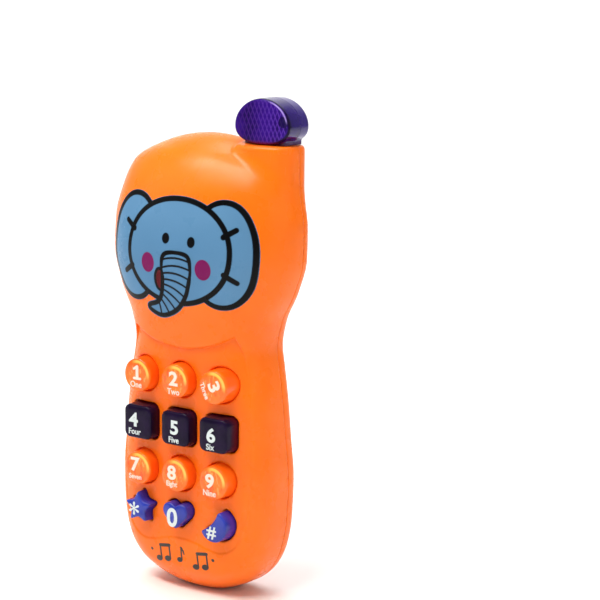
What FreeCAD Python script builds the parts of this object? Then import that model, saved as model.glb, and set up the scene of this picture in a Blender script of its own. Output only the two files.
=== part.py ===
import FreeCAD, Part
import math
import os

# Toy cell phone with twelve sprung keys, a lit antenna stub and a two-cell battery bay.
# Frame: millimetres, +Z up along the phone, -Y towards the keys, +X to the right of
# someone who looks at the keys. Origin: middle of the flat base, on the plane where
# the front and rear shells meet.

V = FreeCAD.Vector
Rot = FreeCAD.Rotation
Pl = FreeCAD.Placement

doc = FreeCAD.newDocument("toy_phone")
sheet = doc.addObject("Spreadsheet::Sheet", "Sheet")
sheet.Label = "Sheet"
_row = [0]
_val = {}


def cell(alias, value, note=""):
    _row[0] += 1
    sheet.set("A%d" % _row[0], alias)
    sheet.set("B%d" % _row[0], str(value))
    if note:
        sheet.set("C%d" % _row[0], note)
    sheet.setAlias("B%d" % _row[0], alias)
    _val[alias] = float(value)


# ---------------------------------------------------------------- driving dimensions
# outline of the body at a row of heights: half width, depth in front of the parting
# plane and depth behind it
SECTIONS = [
    (0.0, 10.1, 8.5, 6.0), (2.0, 15.8, 12.4, 7.2), (6.0, 23.6, 16.6, 8.4),
    (12.0, 29.6, 20.2, 9.1), (20.0, 33.5, 21.4, 9.4), (32.0, 35.9, 21.8, 9.2),
    (48.0, 36.6, 21.5, 9.2), (64.0, 35.1, 21.2, 9.2), (80.0, 33.5, 21.2, 9.2),
    (92.0, 31.8, 21.5, 9.5), (100.0, 30.8, 22.2, 9.4), (110.0, 32.8, 24.0, 9.2),
    (122.0, 38.6, 26.6, 9.2), (135.0, 42.5, 27.5, 9.6), (148.0, 42.9, 26.1, 9.5),
    (160.0, 40.1, 23.6, 9.2), (170.0, 36.2, 18.3, 7.9), (177.0, 23.9, 12.0, 5.6),
    (181.5, 4.6, 2.8, 1.2),
]
for _n, _s in enumerate(SECTIONS):
    cell("section%02d_height" % _n, _s[0])
    cell("section%02d_half_width" % _n, _s[1])
    cell("section%02d_front_depth" % _n, _s[2])
    cell("section%02d_rear_depth" % _n, _s[3])
# squareness of the rounded sections (2 is an ellipse, 4 is nearly a rounded box)
POWERS = [
    (0.0, 2.6, 2.6), (6.0, 3.0, 3.0), (20.0, 4.0, 3.8), (80.0, 4.0, 3.8),
    (100.0, 3.2, 3.5), (122.0, 2.6, 3.3), (160.0, 2.4, 2.8), (181.5, 2.2, 2.4),
]
for _n, _s in enumerate(POWERS):
    cell("power%d_height" % _n, _s[0])
    cell("power%d_front" % _n, _s[1])
    cell("power%d_rear" % _n, _s[2])

cell("top_height", 181.64, "height of the head's small flat crown")
cell("wall", 2.0, "shell wall")
cell("parting_gap", 0.12, "visible line between the shells")
cell("panel_depth", 0.4, "depth of the keypad recess")
cell("panel_core_depth", 21.2, "depth of the keypad face above the waist")
cell("sticker_thickness", 0.12)

cell("key_pitch", 18.8)
cell("key_row_top", 86.8)
cell("key_row_square", 67.9)
cell("key_row_low", 49.2)
cell("key_row_shapes", 33.0)
cell("moon_row", 31.9)
cell("key_top", 25.7, "key face, in front of the parting plane")
cell("key_round_top_r", 6.55)
cell("key_round_base_r", 6.95)
cell("key_square_half", 7.1)
cell("key_square_corner", 2.9)
cell("key_edge_r", 0.9)
cell("key_skin", 1.3)
cell("key_flange_r", 7.75)
cell("key_flange_front", 16.95)
cell("key_flange_back", 15.95)
cell("key_clearance", 0.35)
cell("key_plate_back", 17.0, "flat inner face of the key plate")
cell("key_travel", 1.5)

cell("board_front", 11.45)
cell("board_back", 10.05)
cell("pad_thickness", 0.08)
cell("rubber_back", 11.56)
cell("rubber_sheet", 1.2)
cell("dome_top", 15.9)
cell("dome_base_r", 8.0)
cell("dome_top_r", 7.3)
cell("dome_inner_r", 6.3)
cell("dome_roof", 1.2)
cell("pill_r", 2.5)
cell("pill_thickness", 1.6)

cell("cell_r", 7.25)
cell("cell_length", 49.5)
cell("cell_nub_r", 2.75)
cell("cell_nub", 1.0)
cell("cell_gap_x", 7.6, "cell axis from the middle")
cell("cell_y", -0.05)
cell("bay_low", 20.5)
cell("bay_high", 78.5)
cell("bay_half", 16.0)
cell("bay_floor", 7.5)
cell("bay_wall", 1.4)

cell("cover_half", 24.0)
cell("cover_low", 18.0)
cell("cover_high", 88.0)
cell("cover_corner", 4.0)
cell("cover_gap", 0.25)
cell("cover_thickness", 1.8)
cell("ledge", 1.3)

cell("case_screw_high_x", 27.0)
cell("case_screw_high_z", 161.0)
cell("case_screw_low_x", 13.0)
cell("case_screw_low_z", 11.5)
cell("case_boss_r", 3.3)
cell("case_screw_r", 1.3)
cell("case_screw_head_r", 2.6)

cell("speaker_z", 147.0)
cell("speaker_r", 18.0)
cell("grille_hole_r", 0.8)

cell("lens_x", 27.9)
cell("lens_z", 187.2)
cell("lens_half_width", 13.1)
cell("lens_up", 9.6)
cell("lens_down", 8.4)
cell("lens_front", 7.45)
cell("lens_rear", 6.2)
cell("lens_wall", 1.4)
cell("lens_round", 0.9, "rounding of the rim of each face")
cell("shoulder_top", 178.3)
cell("shoulder_right", 40.6)
cell("shoulder_left", 17.0)

doc.recompute()


def g(alias):
    return float(sheet.get(alias))


# ------------------------------------------------------------------- small helpers
def pchip(xs, ys, x):
    n = len(xs)
    if x <= xs[0]:
        return ys[0]
    if x >= xs[-1]:
        return ys[-1]
    step = [xs[i + 1] - xs[i] for i in range(n - 1)]
    slope = [(ys[i + 1] - ys[i]) / step[i] for i in range(n - 1)]
    tan = [0.0] * n
    for i in range(1, n - 1):
        if slope[i - 1] * slope[i] > 0:
            w1, w2 = 2 * step[i] + step[i - 1], step[i] + 2 * step[i - 1]
            tan[i] = (w1 + w2) / (w1 / slope[i - 1] + w2 / slope[i])

    def end(h0, h1, d0, d1):
        e = ((2 * h0 + h1) * d0 - h0 * d1) / (h0 + h1)
        if e * d0 <= 0:
            return 0.0
        if d0 * d1 <= 0 and abs(e) > 3 * abs(d0):
            return 3 * d0
        return e

    tan[0] = end(step[0], step[1], slope[0], slope[1])
    tan[-1] = end(step[-1], step[-2], slope[-1], slope[-2])
    i = max(k for k in range(n - 1) if xs[k] <= x)
    u = (x - xs[i]) / step[i]
    return (
        (1 + 2 * u) * (1 - u) ** 2 * ys[i]
        + u * (1 - u) ** 2 * step[i] * tan[i]
        + u * u * (3 - 2 * u) * ys[i + 1]
        + u * u * (u - 1) * step[i] * tan[i + 1]
    )


def lerp(xs, ys, x):
    if x <= xs[0]:
        return ys[0]
    for i in range(len(xs) - 1):
        if x <= xs[i + 1]:
            return ys[i] + (ys[i + 1] - ys[i]) * (x - xs[i]) / (xs[i + 1] - xs[i])
    return ys[-1]


ZS = [g("section%02d_height" % i) for i in range(len(SECTIONS))]
WA = [g("section%02d_half_width" % i) for i in range(len(SECTIONS))]
WF = [g("section%02d_front_depth" % i) for i in range(len(SECTIONS))]
WR = [g("section%02d_rear_depth" % i) for i in range(len(SECTIONS))]
PZ = [g("power%d_height" % i) for i in range(len(POWERS))]
PF = [g("power%d_front" % i) for i in range(len(POWERS))]
PR = [g("power%d_rear" % i) for i in range(len(POWERS))]
TOP = g("top_height")


def measure(table, z):
    # squares are interpolated, so that both ends close like a dome
    sq = [v * v for v in table]
    if z <= ZS[-1]:
        return math.sqrt(max(pchip(ZS, sq, z), 0.01))
    rate = (sq[-1] - sq[-2]) / (ZS[-1] - ZS[-2])
    return math.sqrt(max(sq[-1] + rate * (z - ZS[-1]), 0.9))


def power(side, z):
    return lerp(PZ, PF if side == "front" else PR, z)


def profile(side, z):
    return measure(WA, z), measure(WF if side == "front" else WR, z)


def shrink(table, t):
    # the curve of one measure against height, moved inwards by t
    zs = [TOP * i / 600.0 for i in range(601)]
    out = []
    for z in zs:
        e = 0.02
        lo, hi = max(z - e, 0.0), min(z + e, TOP)
        d = (measure(table, hi) - measure(table, lo)) / (hi - lo)
        q = math.sqrt(1 + d * d)
        out.append((z + t * d / q, measure(table, z) - t / q))
    mono = [out[0]]
    for p in out[1:]:
        if p[0] > mono[-1][0] + 1e-6:
            mono.append(p)
    return [p[0] for p in mono], [p[1] for p in mono]


def levels(lo, hi, count, tables):
    # heights spaced evenly along the outline, so that the ends get enough of them
    fine = [lo + (hi - lo) * i / 2000.0 for i in range(2001)]
    run = [0.0]
    for i in range(1, len(fine)):
        dz = fine[i] - fine[i - 1]
        steps = [abs(f(fine[i]) - f(fine[i - 1])) for f in tables]
        run.append(run[-1] + math.sqrt(dz * dz + sum(s * s for s in steps)))
    return [lerp(run, fine, run[-1] * i / (count - 1)) for i in range(count)]


def spacing(count, a=35.0, b=18.0, n=3.2):
    run, last = [0.0], (a, 0.0)
    for i in range(1, count + 1):
        ang = math.pi * i / count
        c, s = math.cos(ang), math.sin(ang)
        p = (a * math.copysign(abs(c) ** (2.0 / n), c), b * abs(s) ** (2.0 / n))
        run.append(run[-1] + math.hypot(p[0] - last[0], p[1] - last[1]))
        last = p
    return [r / run[-1] for r in run]


def section(side, a, b, n, z, count=30):
    sign = -1.0 if side == "front" else 1.0
    pts = []
    for i in range(count + 1):
        ang = math.pi * i / count
        c, s = math.cos(ang), math.sin(ang)
        # blend of angles puts points where a squarish section bends
        x = a * math.copysign(abs(c) ** (2.0 / n), c)
        y = sign * b * abs(s) ** (2.0 / n)
        pts.append(V(x, y, z))
    pts[0], pts[-1] = V(a, 0, z), V(-a, 0, z)
    if abs(pts[count // 2].x) < 1e-9:
        pts[count // 2] = V(0, sign * b, z)
    # every section shares one spacing along its curve, so that the loft stays light
    curve = Part.BSplineCurve()
    curve.interpolate(Points=pts, Parameters=spacing(count))
    return Part.Wire([curve.toShape(), Part.makeLine(pts[-1], pts[0])])


def half_solid(side, a_of, b_of, lo, hi, count=26):
    zs = levels(lo, hi, count, [a_of, b_of])
    wires = [section(side, a_of(z), b_of(z), power(side, z), z) for z in zs]
    solid = Part.makeLoft(wires, True, False, False)
    if solid.Volume < 0:
        solid.reverse()
    return solid


def outer_half(side, grow=0.0):
    table = WF if side == "front" else WR
    return half_solid(
        side, lambda z: measure(WA, z) + grow, lambda z: measure(table, z) + grow, 0.0, TOP
    )


def inner_half(side, t):
    table = WF if side == "front" else WR
    az, av = shrink(WA, t)
    bz, bv = shrink(table, t)
    lo = max(az[0], bz[0], t)
    hi = min(az[-1], bz[-1], TOP - t)
    return half_solid(side, lambda z: lerp(az, av, z), lambda z: lerp(bz, bv, z), lo, hi)


def box(x0, x1, y0, y1, z0, z1):
    return Part.makeBox(x1 - x0, y1 - y0, z1 - z0, V(x0, y0, z0))


def rod(x, z, y0, y1, r):
    # cylinder along Y
    return Part.makeCylinder(r, y1 - y0, V(x, y0, z), V(0, 1, 0))


def cone(x, z, y0, y1, r0, r1):
    return Part.makeCone(r0, r1, y1 - y0, V(x, y0, z), V(0, 1, 0))


def fuse(shapes):
    return shapes[0].fuse(list(shapes[1:])).removeSplitter()


def cut(a, tools):
    return a.cut(tools) if isinstance(tools, list) else a.cut(tools)


def feature(label, shape, placement=None):
    ob = doc.addObject("Part::Feature", label)
    ob.Label = label
    ob.Shape = shape
    ob.Placement = placement or Pl()
    nodes.append(ob)
    return ob


nodes = []


def keep(ob, label):
    ob.Label = label
    nodes.append(ob)
    return ob


def origin_plane(body, role):
    return [f for f in body.Origin.OriginFeatures if f.Role == role][0]


def sketch(body, name, role, offset_alias=None, sign=1.0):
    sk = body.newObject("Sketcher::SketchObject", name)
    sk.AttachmentSupport = [(origin_plane(body, role), "")]
    sk.MapMode = "FlatFace"
    if offset_alias:
        sk.setExpression(
            "AttachmentOffset.Base.z",
            ("Sheet.%s" if sign > 0 else "-Sheet.%s") % offset_alias,
        )
    return sk


def circle_sketch(body, name, role, alias, offset_alias=None, sign=1.0):
    import Sketcher

    sk = sketch(body, name, role, offset_alias, sign)
    sk.addGeometry(Part.Circle(V(0, 0, 0), V(0, 0, 1), _val.get(alias, 5.0)), False)
    sk.addConstraint(Sketcher.Constraint("Coincident", 0, 3, -1, 1))
    n = sk.addConstraint(Sketcher.Constraint("Radius", 0, _val.get(alias, 5.0)))
    sk.renameConstraint(n, "size")
    sk.setExpression("Constraints.size", "Sheet.%s" % alias)
    return sk


# ------------------------------------------------------------------- shells
KEYS = {
    "key_1": (-1, "key_row_top", "round"), "key_2": (0, "key_row_top", "round"),
    "key_3": (1, "key_row_top", "round"), "key_4": (-1, "key_row_square", "square"),
    "key_5": (0, "key_row_square", "square"), "key_6": (1, "key_row_square", "square"),
    "key_7": (-1, "key_row_low", "round"), "key_8": (0, "key_row_low", "round"),
    "key_9": (1, "key_row_low", "round"), "key_star": (-1, "key_row_shapes", "star"),
    "key_zero_heart": (0, "key_row_shapes", "heart"),
    "key_moon": (1, "moon_row", "moon"),
}


def key_place(name):
    col, row, _ = KEYS[name]
    return col * g("key_pitch"), g(row)


def closed_curve(points):
    c = Part.BSplineCurve()
    c.interpolate(points, PeriodicFlag=True)
    return Part.Wire([c.toShape()])


def smooth_ring(points, passes):
    # rounds a closed polygon that has been cut into short steps
    n = len(points)
    for _ in range(passes):
        points = [
            (
                0.25 * points[i - 1][0] + 0.5 * points[i][0] + 0.25 * points[(i + 1) % n][0],
                0.25 * points[i - 1][1] + 0.5 * points[i][1] + 0.25 * points[(i + 1) % n][1],
            )
            for i in range(n)
        ]
    return points


def resample(points, count):
    n = len(points)
    run = [0.0]
    for i in range(n):
        a, b = points[i], points[(i + 1) % n]
        run.append(run[-1] + math.hypot(b[0] - a[0], b[1] - a[1]))
    out, k = [], 0
    for i in range(count):
        d = run[-1] * i / count
        while run[k + 1] < d:
            k += 1
        a, b = points[k], points[(k + 1) % n]
        u = (d - run[k]) / (run[k + 1] - run[k])
        out.append((a[0] + (b[0] - a[0]) * u, a[1] + (b[1] - a[1]) * u))
    return out


def grow_ring(points, d):
    # moves a counter-clockwise ring outwards by d
    n = len(points)
    out = []
    for i in range(n):
        a, b = points[i - 1], points[(i + 1) % n]
        tx, tz = b[0] - a[0], b[1] - a[1]
        q = math.hypot(tx, tz)
        out.append((points[i][0] + d * tz / q, points[i][1] - d * tx / q))
    return out


def star_ring():
    pts = []
    for i in range(10):
        r = 7.35 if i % 2 == 0 else 3.75
        ang = math.radians(90 + 36 * i)
        pts.append((r * math.cos(ang), r * math.sin(ang)))
    return smooth_ring(resample(pts, 120), 9)


def heart_ring():
    pts = []
    for i in range(160):
        t = 2 * math.pi * i / 160.0
        x = -16 * math.sin(t) ** 3
        z = 13 * math.cos(t) - 5 * math.cos(2 * t) - 2 * math.cos(3 * t) - math.cos(4 * t)
        pts.append((x * 0.395, z * 0.385 + 0.35))
    # fuller lobes and a blunter point than the plain curve
    pts = grow_ring(smooth_ring(resample(pts, 120), 20), 0.35)
    return smooth_ring(resample(pts, 96), 4)


def moon_ring():
    cx, cz, r = 0.05, 0.0, 6.9
    a0, a1 = math.radians(-156), math.radians(68)
    pts = []
    for i in range(90):
        t = a0 + (a1 - a0) * i / 89.0
        pts.append((cx + r * math.cos(t), cz + r * math.sin(t)))
    # hollow side: an arc back from the upper tip to the lower left tip
    p, q = pts[-1], pts[0]
    mx, mz = (p[0] + q[0]) / 2, (p[1] + q[1]) / 2
    chord = math.hypot(p[0] - q[0], p[1] - q[1])
    nx, nz = (q[1] - p[1]) / chord, -(q[0] - p[0]) / chord
    if nx * (cx - mx) + nz * (cz - mz) < 0:
        nx, nz = -nx, -nz
    for i in range(1, 50):
        u = i / 50.0
        deep = 1.55 * 4 * u * (1 - u)
        pts.append((p[0] + (q[0] - p[0]) * u + nx * deep, p[1] + (q[1] - p[1]) * u + nz * deep))
    return smooth_ring(resample(pts, 120), 12)


def square_ring(half, corner):
    pts = []
    for i in range(4):
        ang = math.radians(90 * i)
        cx = (half - corner) * (1 if i in (0, 3) else -1)
        cz = (half - corner) * (1 if i in (0, 1) else -1)
        for k in range(9):
            t = ang + math.radians(90) * k / 8.0
            pts.append((cx + corner * math.cos(t), cz + corner * math.sin(t)))
    return resample(pts, 96)


RINGS = {k: resample(v, 72) for k, v in (("star", star_ring()), ("heart", heart_ring()), ("moon", moon_ring()))}


def ring_wire(points, x, y, z):
    return closed_curve([V(x + p[0], y, z + p[1]) for p in points])


def ring_prism(points, x, z, y0, y1):
    face = Part.Face(ring_wire(points, x, y0, z))
    return face.extrude(V(0, y1 - y0, 0))


outer_front = outer_half("front")
outer_rear = outer_half("rear")
inner_front = inner_half("front", g("wall"))
inner_rear = inner_half("rear", g("wall"))


def shoulder(side, t=0.0):
    # the antenna's post: a rounded block that grows out of the head's upper right
    left, right = g("shoulder_left") + (t and t + 1.0), g("shoulder_right") - t
    top = g("shoulder_top") - t
    if side == "front":
        p = [V(left, 0, 0), V(left, -9.0 + t, 0), V(27.0, -11.5 + t, 0), V(35.5, -10.6 + t, 0)]
        q, e = V(39.3 - t * 0.8, -8.2 + t * 0.7, 0), V(right, -4.4 + t * 0.5, 0)
        r = V(right, 0, 0)
    else:
        p = [V(left, 0, 0), V(left, 7.2 - t, 0), V(27.0, 8.0 - t, 0), V(35.5, 7.4 - t, 0)]
        q, e = V(39.3 - t * 0.8, 5.6 - t * 0.7, 0), V(right, 2.6 - t * 0.5, 0)
        r = V(right, 0, 0)
    edges = [
        Part.makeLine(p[0], p[1]),
        Part.Arc(p[1], p[2], p[3]).toShape(),
        Part.Arc(p[3], q, e).toShape(),
        Part.makeLine(e, r),
        Part.makeLine(r, p[0]),
    ]
    low = 148.0
    solid = Part.Face(Part.Wire(edges)).extrude(V(0, 0, top - low))
    solid.translate(V(0, 0, low))
    if not t:
        rim = [
            ed for ed in solid.Edges
            if all(abs(v.Point.z - top) < 1e-6 for v in ed.Vertexes)
            and not all(abs(v.Point.y) < 1e-6 for v in ed.Vertexes)
            and not all(abs(v.Point.x - left) < 1e-6 for v in ed.Vertexes)
        ]
        try:
            rounded = solid.makeFillet(1.5, rim)
            if rounded.isValid() and rounded.Volume > 0:
                solid = rounded
        except Exception:
            pass
    return solid


slot = box(21.6, 34.4, -4.3, 4.3, 170.0, 182.0)

# outline of the keypad recess: arc below the head, gently bowed sides, two low lobes
arc_r, arc_z = 48.0, 147.6
right_side = [
    (24.6, 105.9), (26.9, 98.0), (28.6, 90.0), (30.2, 79.3), (31.3, 64.7), (31.3, 51.0),
    (30.4, 37.2), (28.4, 28.5), (24.6, 22.4), (19.0, 19.8), (13.0, 20.5), (6.5, 22.2),
]
arc_pts = []
for i in range(1, 12):
    ang = math.radians(-90) + math.radians(29.5) * (1 - 2 * i / 12.0) * -1
    arc_pts.append((arc_r * math.cos(ang), arc_z + arc_r * math.sin(ang)))
tl = (-24.2, 106.0)
tr = (24.2, 106.0)


def panel_wire(y):
    upper = Part.BSplineCurve()
    upper.interpolate([V(tl[0], y, tl[1])] + [V(p[0], y, p[1]) for p in arc_pts] + [V(tr[0], y, tr[1])])
    ring = [tr] + right_side + [(0.0, 22.8)] + [(-p[0], p[1]) for p in reversed(right_side)] + [tl]
    lower = Part.BSplineCurve()
    lower.interpolate([V(p[0], y, p[1]) for p in ring])
    return Part.Wire([upper.toShape(), lower.toShape()])


def core_depth(z):
    deep = measure(WF, z)
    if z > 88.0:
        deep = min(deep, g("panel_core_depth") + 0.02 * (z - 88.0))
    return deep - g("panel_depth")


core = half_solid("front", lambda z: measure(WA, z) + 0.6, core_depth, 12.0, 125.0, 24)
recess = Part.Face(panel_wire(-40.0)).extrude(V(0, 30, 0)).cut(core)

plate = box(-28.6, 28.6, -20.5, -g("key_plate_back"), 19.0, 99.0)
LOW_X, LOW_Z = g("case_screw_low_x"), g("case_screw_low_z")
HIGH_X, HIGH_Z = g("case_screw_high_x"), g("case_screw_high_z")
CASE = [(-LOW_X, LOW_Z), (LOW_X, LOW_Z), (-HIGH_X, HIGH_Z), (HIGH_X, HIGH_Z)]
BOARD_SCREWS = [(-28.0, 77.4), (28.0, 77.4), (-28.4, 40.6), (28.4, 40.6), (-9.4, 101.0), (9.4, 101.0)]

extras = [plate]
for x, z in CASE:
    extras.append(rod(x, z, -26.0, -0.4, g("case_boss_r")))
for x, z in BOARD_SCREWS:
    extras.append(rod(x, z, -24.0, -g("board_front") - 0.03, 2.1))
# ribs that stiffen the head
extras.append(box(-0.7, 0.7, -26.5, -21.5, 108.0, 172.0))
extras.append(box(-30.0, 30.0, -25.5, -21.5, 133.3, 134.7))
inside = fuse(extras).common(outer_front)
front = outer_front.fuse(shoulder("front"))
front = front.cut([inner_front, shoulder("front", g("wall")).cut(box(0, 60, -30, 5, 100, 150)), recess])
# posts, ribs and plate stand inside the walls, clear of the recess
front = front.fuse(inside.cut(recess))
openings = []
for name in KEYS:
    x, z = key_place(name)
    kind = KEYS[name][2]
    gap = g("key_clearance")
    if kind == "round":
        openings.append(rod(x, z, -32.0, -10.0, g("key_round_base_r") + gap))
    elif kind == "square":
        openings.append(ring_prism(square_ring(g("key_square_half") + gap, g("key_square_corner") + gap), x, z, -32.0, -10.0))
    else:
        openings.append(ring_prism(grow_ring(RINGS[kind], gap), x, z, -32.0, -10.0))
    # room in the side wall for the outer keys' flanges
    if abs(x) > 1:
        if kind == "round":
            openings.append(rod(x, z, -g("key_plate_back"), -13.0, g("key_flange_r") + 0.4))
        elif kind == "square":
            openings.append(ring_prism(square_ring(g("key_square_half") + 1.05, g("key_square_corner") + 1.05), x, z, -g("key_plate_back"), -13.0))
for x, z in CASE:
    openings.append(rod(x, z, -13.0, 1.0, g("case_screw_r") + 0.05))
for x, z in BOARD_SCREWS:
    openings.append(rod(x, z, -16.0, -5.0, 1.12))
openings.append(slot)
openings.append(box(-60, 60, -g("parting_gap") / 2, 5, -5, 200))
front = front.cut(openings)
feature("front_shell", front)

# rear shell
w = g("bay_wall")
BH, BL, BT, BF = g("bay_half"), g("bay_low"), g("bay_high"), g("bay_floor")
CW, C0, C1, CG = g("cover_half"), g("cover_low"), g("cover_high"), g("cover_gap")
CT = g("cover_thickness")
cover_seat = 9.2 - CT - 0.1
led = g("ledge")
boss_z = 84.3
half_gap = g("parting_gap") / 2
SPEAKER_SCREWS = []
for k in range(3):
    ang = math.radians(90 + 120 * k)
    SPEAKER_SCREWS.append((22.6 * math.cos(ang), g("speaker_z") + 22.6 * math.sin(ang)))
GRILLE = [(0.0, 0.0)]
for count, radius in ((6, 2.9), (12, 5.8), (18, 8.7), (24, 11.6)):
    for k in range(count):
        ang = 2 * math.pi * (k + (0.5 if 5 < radius < 6 else 0.0)) / count
        GRILLE.append((radius * math.cos(ang), radius * math.sin(ang)))


def rounded(x0, x1, z0, z1, r, y0, y1):
    b = box(x0, x1, y0, y1, z0, z1)
    ed = [e for e in b.Edges if abs(e.Vertexes[0].Point.y - e.Vertexes[1].Point.y) > 1e-6]
    return b.makeFillet(r, ed)


rear = outer_rear.fuse(shoulder("rear"))
rear = rear.cut([inner_rear, shoulder("rear", g("wall")).cut(box(0, 60, -5, 30, 100, 150))])
bits = [box(-BH - w, BH + w, half_gap, 8.4, BL - w, BT + w), rod(0, boss_z, half_gap, 8.0, 3.4)]
for x, z in CASE:
    bits.append(rod(x, z, half_gap, 9.0, g("case_boss_r") + 0.5))
bits.append(rod(0, g("speaker_z"), 3.4, 8.4, g("speaker_r") + 1.9).cut(rod(0, g("speaker_z"), 3.0, 9.0, g("speaker_r") + 0.3)))
for x, z in SPEAKER_SCREWS:
    bits.append(rod(x, z, 5.0, 8.4, 2.2))
rear = rear.fuse(fuse(bits).common(outer_rear))
tools = [
    rounded(-CW - CG, CW + CG, C0 - CG, C1 + CG, g("cover_corner") + CG, cover_seat, 14.0),
    box(-BH, BH, -BF, 14.0, BL, BT),
    rod(0, boss_z, -3.0, 9.0, 1.65),
    slot,
    box(-60, 60, -20.0, half_gap, -5, 200),
]
# the floor of the seat opens round the bay, and below it for the cover's two hooks
opening = rounded(-CW + led, CW - led, C0 + led, BT + w + 0.6, 2.5, 5.6, 14.0)
tools.append(opening.cut(box(-BH - w, BH + w, 0, 20, BL - w, BT + w)))
for sx in (-1, 1):
    x0, x1 = sorted((sx * 18.0, sx * 22.9))
    tools.append(box(x0, x1, 3.0, cover_seat + 0.05, C0 - 3.2, C0 + led + 3.0))
for x, z in CASE:
    tools.append(rod(x, z, -1.0, 14.0, g("case_screw_r") + 0.2))
    tools.append(rod(x, z, 3.0, 14.0, g("case_screw_head_r") + 0.2))
for x, z in SPEAKER_SCREWS:
    tools.append(rod(x, z, 3.0, 7.6, 0.85))
for x, z in GRILLE:
    tools.append(rod(x, g("speaker_z") + z, 5.5, 12.0, g("grille_hole_r")))
rear = rear.cut(tools)
# the bay's tub reaches past the parting plane, into the front shell
tub = box(-BH - w, BH + w, -BF - w, half_gap + 0.5, BL - w, BT + w)
rear = rear.fuse([tub, rod(0, boss_z, -1.0, half_gap + 0.5, 3.4)])
rear = rear.cut([box(-BH, BH, -BF, 14.0, BL, BT), rod(0, boss_z, -3.0, 9.0, 1.65)])
feature("rear_shell", rear)

# battery cover: follows the rear surface, with two hooks and a screw recess
cover = rounded(-CW, CW, C0, C1, g("cover_corner"), cover_seat + 0.05, 14.0).common(outer_rear)
hooks = []
for sx in (-1, 1):
    x0, x1 = sorted((sx * 18.5, sx * 22.4))
    hooks.append(box(x0, x1, 5.4, 6.9, C0 - 2.2, C0 + 3.2))
    hooks.append(box(x0, x1, 5.4, cover_seat + 0.4, C0 + 1.6, C0 + 3.2))
cover = fuse([cover] + hooks)
cover_tools = [rod(0, boss_z, 0.0, 14.0, 1.55), rod(0, boss_z, cover_seat + 0.75, 14.0, 2.85)]
# finger ribs
for k in range(5):
    zr = 68.0 + 2.6 * k
    cover_tools.append(box(-9.0 + k * 1.2, 9.0 - k * 1.2, 8.85, 14.0, zr, zr + 1.1))
cover = cover.cut(cover_tools)
feature("battery_cover", cover)


# ------------------------------------------------------------------- fasteners
def screw(label, spots, head_r, head_t, shank_r, length, y_seat, driver="cross", washer=0.0):
    # screws along Y with the head on the rear side of y_seat
    solids = []
    for x, z in spots:
        head = Part.makeCylinder(head_r, head_t, V(x, y_seat, z), V(0, 1, 0))
        rim = [e for e in head.Edges if abs(e.BoundBox.YMin - y_seat - head_t) < 1e-6 and abs(e.BoundBox.YMax - y_seat - head_t) < 1e-6 and e.Length > 1]
        head = head.makeFillet(head_t * 0.55, rim)
        shank = Part.makeCylinder(shank_r, length - 1.2, V(x, y_seat, z), V(0, -1, 0))
        tip = Part.makeCone(shank_r, 0.35, 1.2, V(x, y_seat - length + 1.2, z), V(0, -1, 0))
        one = head.fuse(shank).fuse(tip)
        if washer:
            one = one.fuse(Part.makeCylinder(washer, 0.45, V(x, y_seat, z), V(0, 1, 0)))
        d = head_r * 0.6
        one = one.cut(box(x - d, x + d, y_seat + head_t * 0.45, y_seat + head_t + 1, z - 0.28, z + 0.28))
        one = one.cut(box(x - 0.28, x + 0.28, y_seat + head_t * 0.45, y_seat + head_t + 1, z - d, z + d))
        solids.append(one.removeSplitter())
    shape = solids[0] if len(solids) == 1 else Part.makeCompound(solids)
    return feature(label, shape)


screw("case_screws", CASE, g("case_screw_head_r"), 1.9, g("case_screw_r"), 13.0, 3.02)
screw("board_screws", BOARD_SCREWS, 2.1, 1.3, 1.07, 5.2, -g("board_back") + 0.02)
# the speaker screws enter from inside, so their heads face the front
fixed = []
for x, z in SPEAKER_SCREWS:
    head = Part.makeCylinder(2.6, 0.5, V(x, 4.97, z), V(0, -1, 0))
    cap = Part.makeCylinder(1.6, 1.2, V(x, 4.47, z), V(0, -1, 0))
    rim = [e for e in cap.Edges if abs(e.BoundBox.YMax - 3.27) < 1e-6]
    cap = cap.makeFillet(0.6, rim)
    shank = Part.makeCylinder(0.8, 2.4, V(x, 4.97, z), V(0, 1, 0))
    one = head.fuse(cap).fuse(shank)
    one = one.cut(box(x - 1.0, x + 1.0, 3.0, 3.8, z - 0.22, z + 0.22))
    one = one.cut(box(x - 0.22, x + 0.22, 3.0, 3.8, z - 1.0, z + 1.0))
    fixed.append(one.removeSplitter())
feature("speaker_screws", Part.makeCompound(fixed))

cover_screw_seat = cover_seat + 0.78
screw("battery_cover_screw", [(0.0, boss_z)], 2.5, 1.0, 1.2, 8.0, cover_screw_seat)

# ------------------------------------------------------------------- keys


def scaled(ring, f):
    return [(p[0] * f, p[1] * f) for p in ring]


def soft_cap(ring, draft, r):
    # a drafted cap: rings stacked along Y, with a rounded rim at the front
    low, high = -g("key_flange_back"), -g("key_top")
    rows = [(1.0, 0.0, low), (1 - draft * (1 - r / (low - high)), 0.0, high + r)]
    for k in range(1, 4):
        ang = math.radians(30 * k)
        rows.append((1 - draft, -r * (1 - math.cos(ang)), high + r * (1 - math.sin(ang))))
    rings = [ring_wire(grow_ring(scaled(ring, f), d), 0, y, 0) for f, d, y in rows]
    solid = Part.makeLoft(rings, True, True, False)
    if solid.Volume < 0:
        solid.reverse()
    return solid


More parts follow.
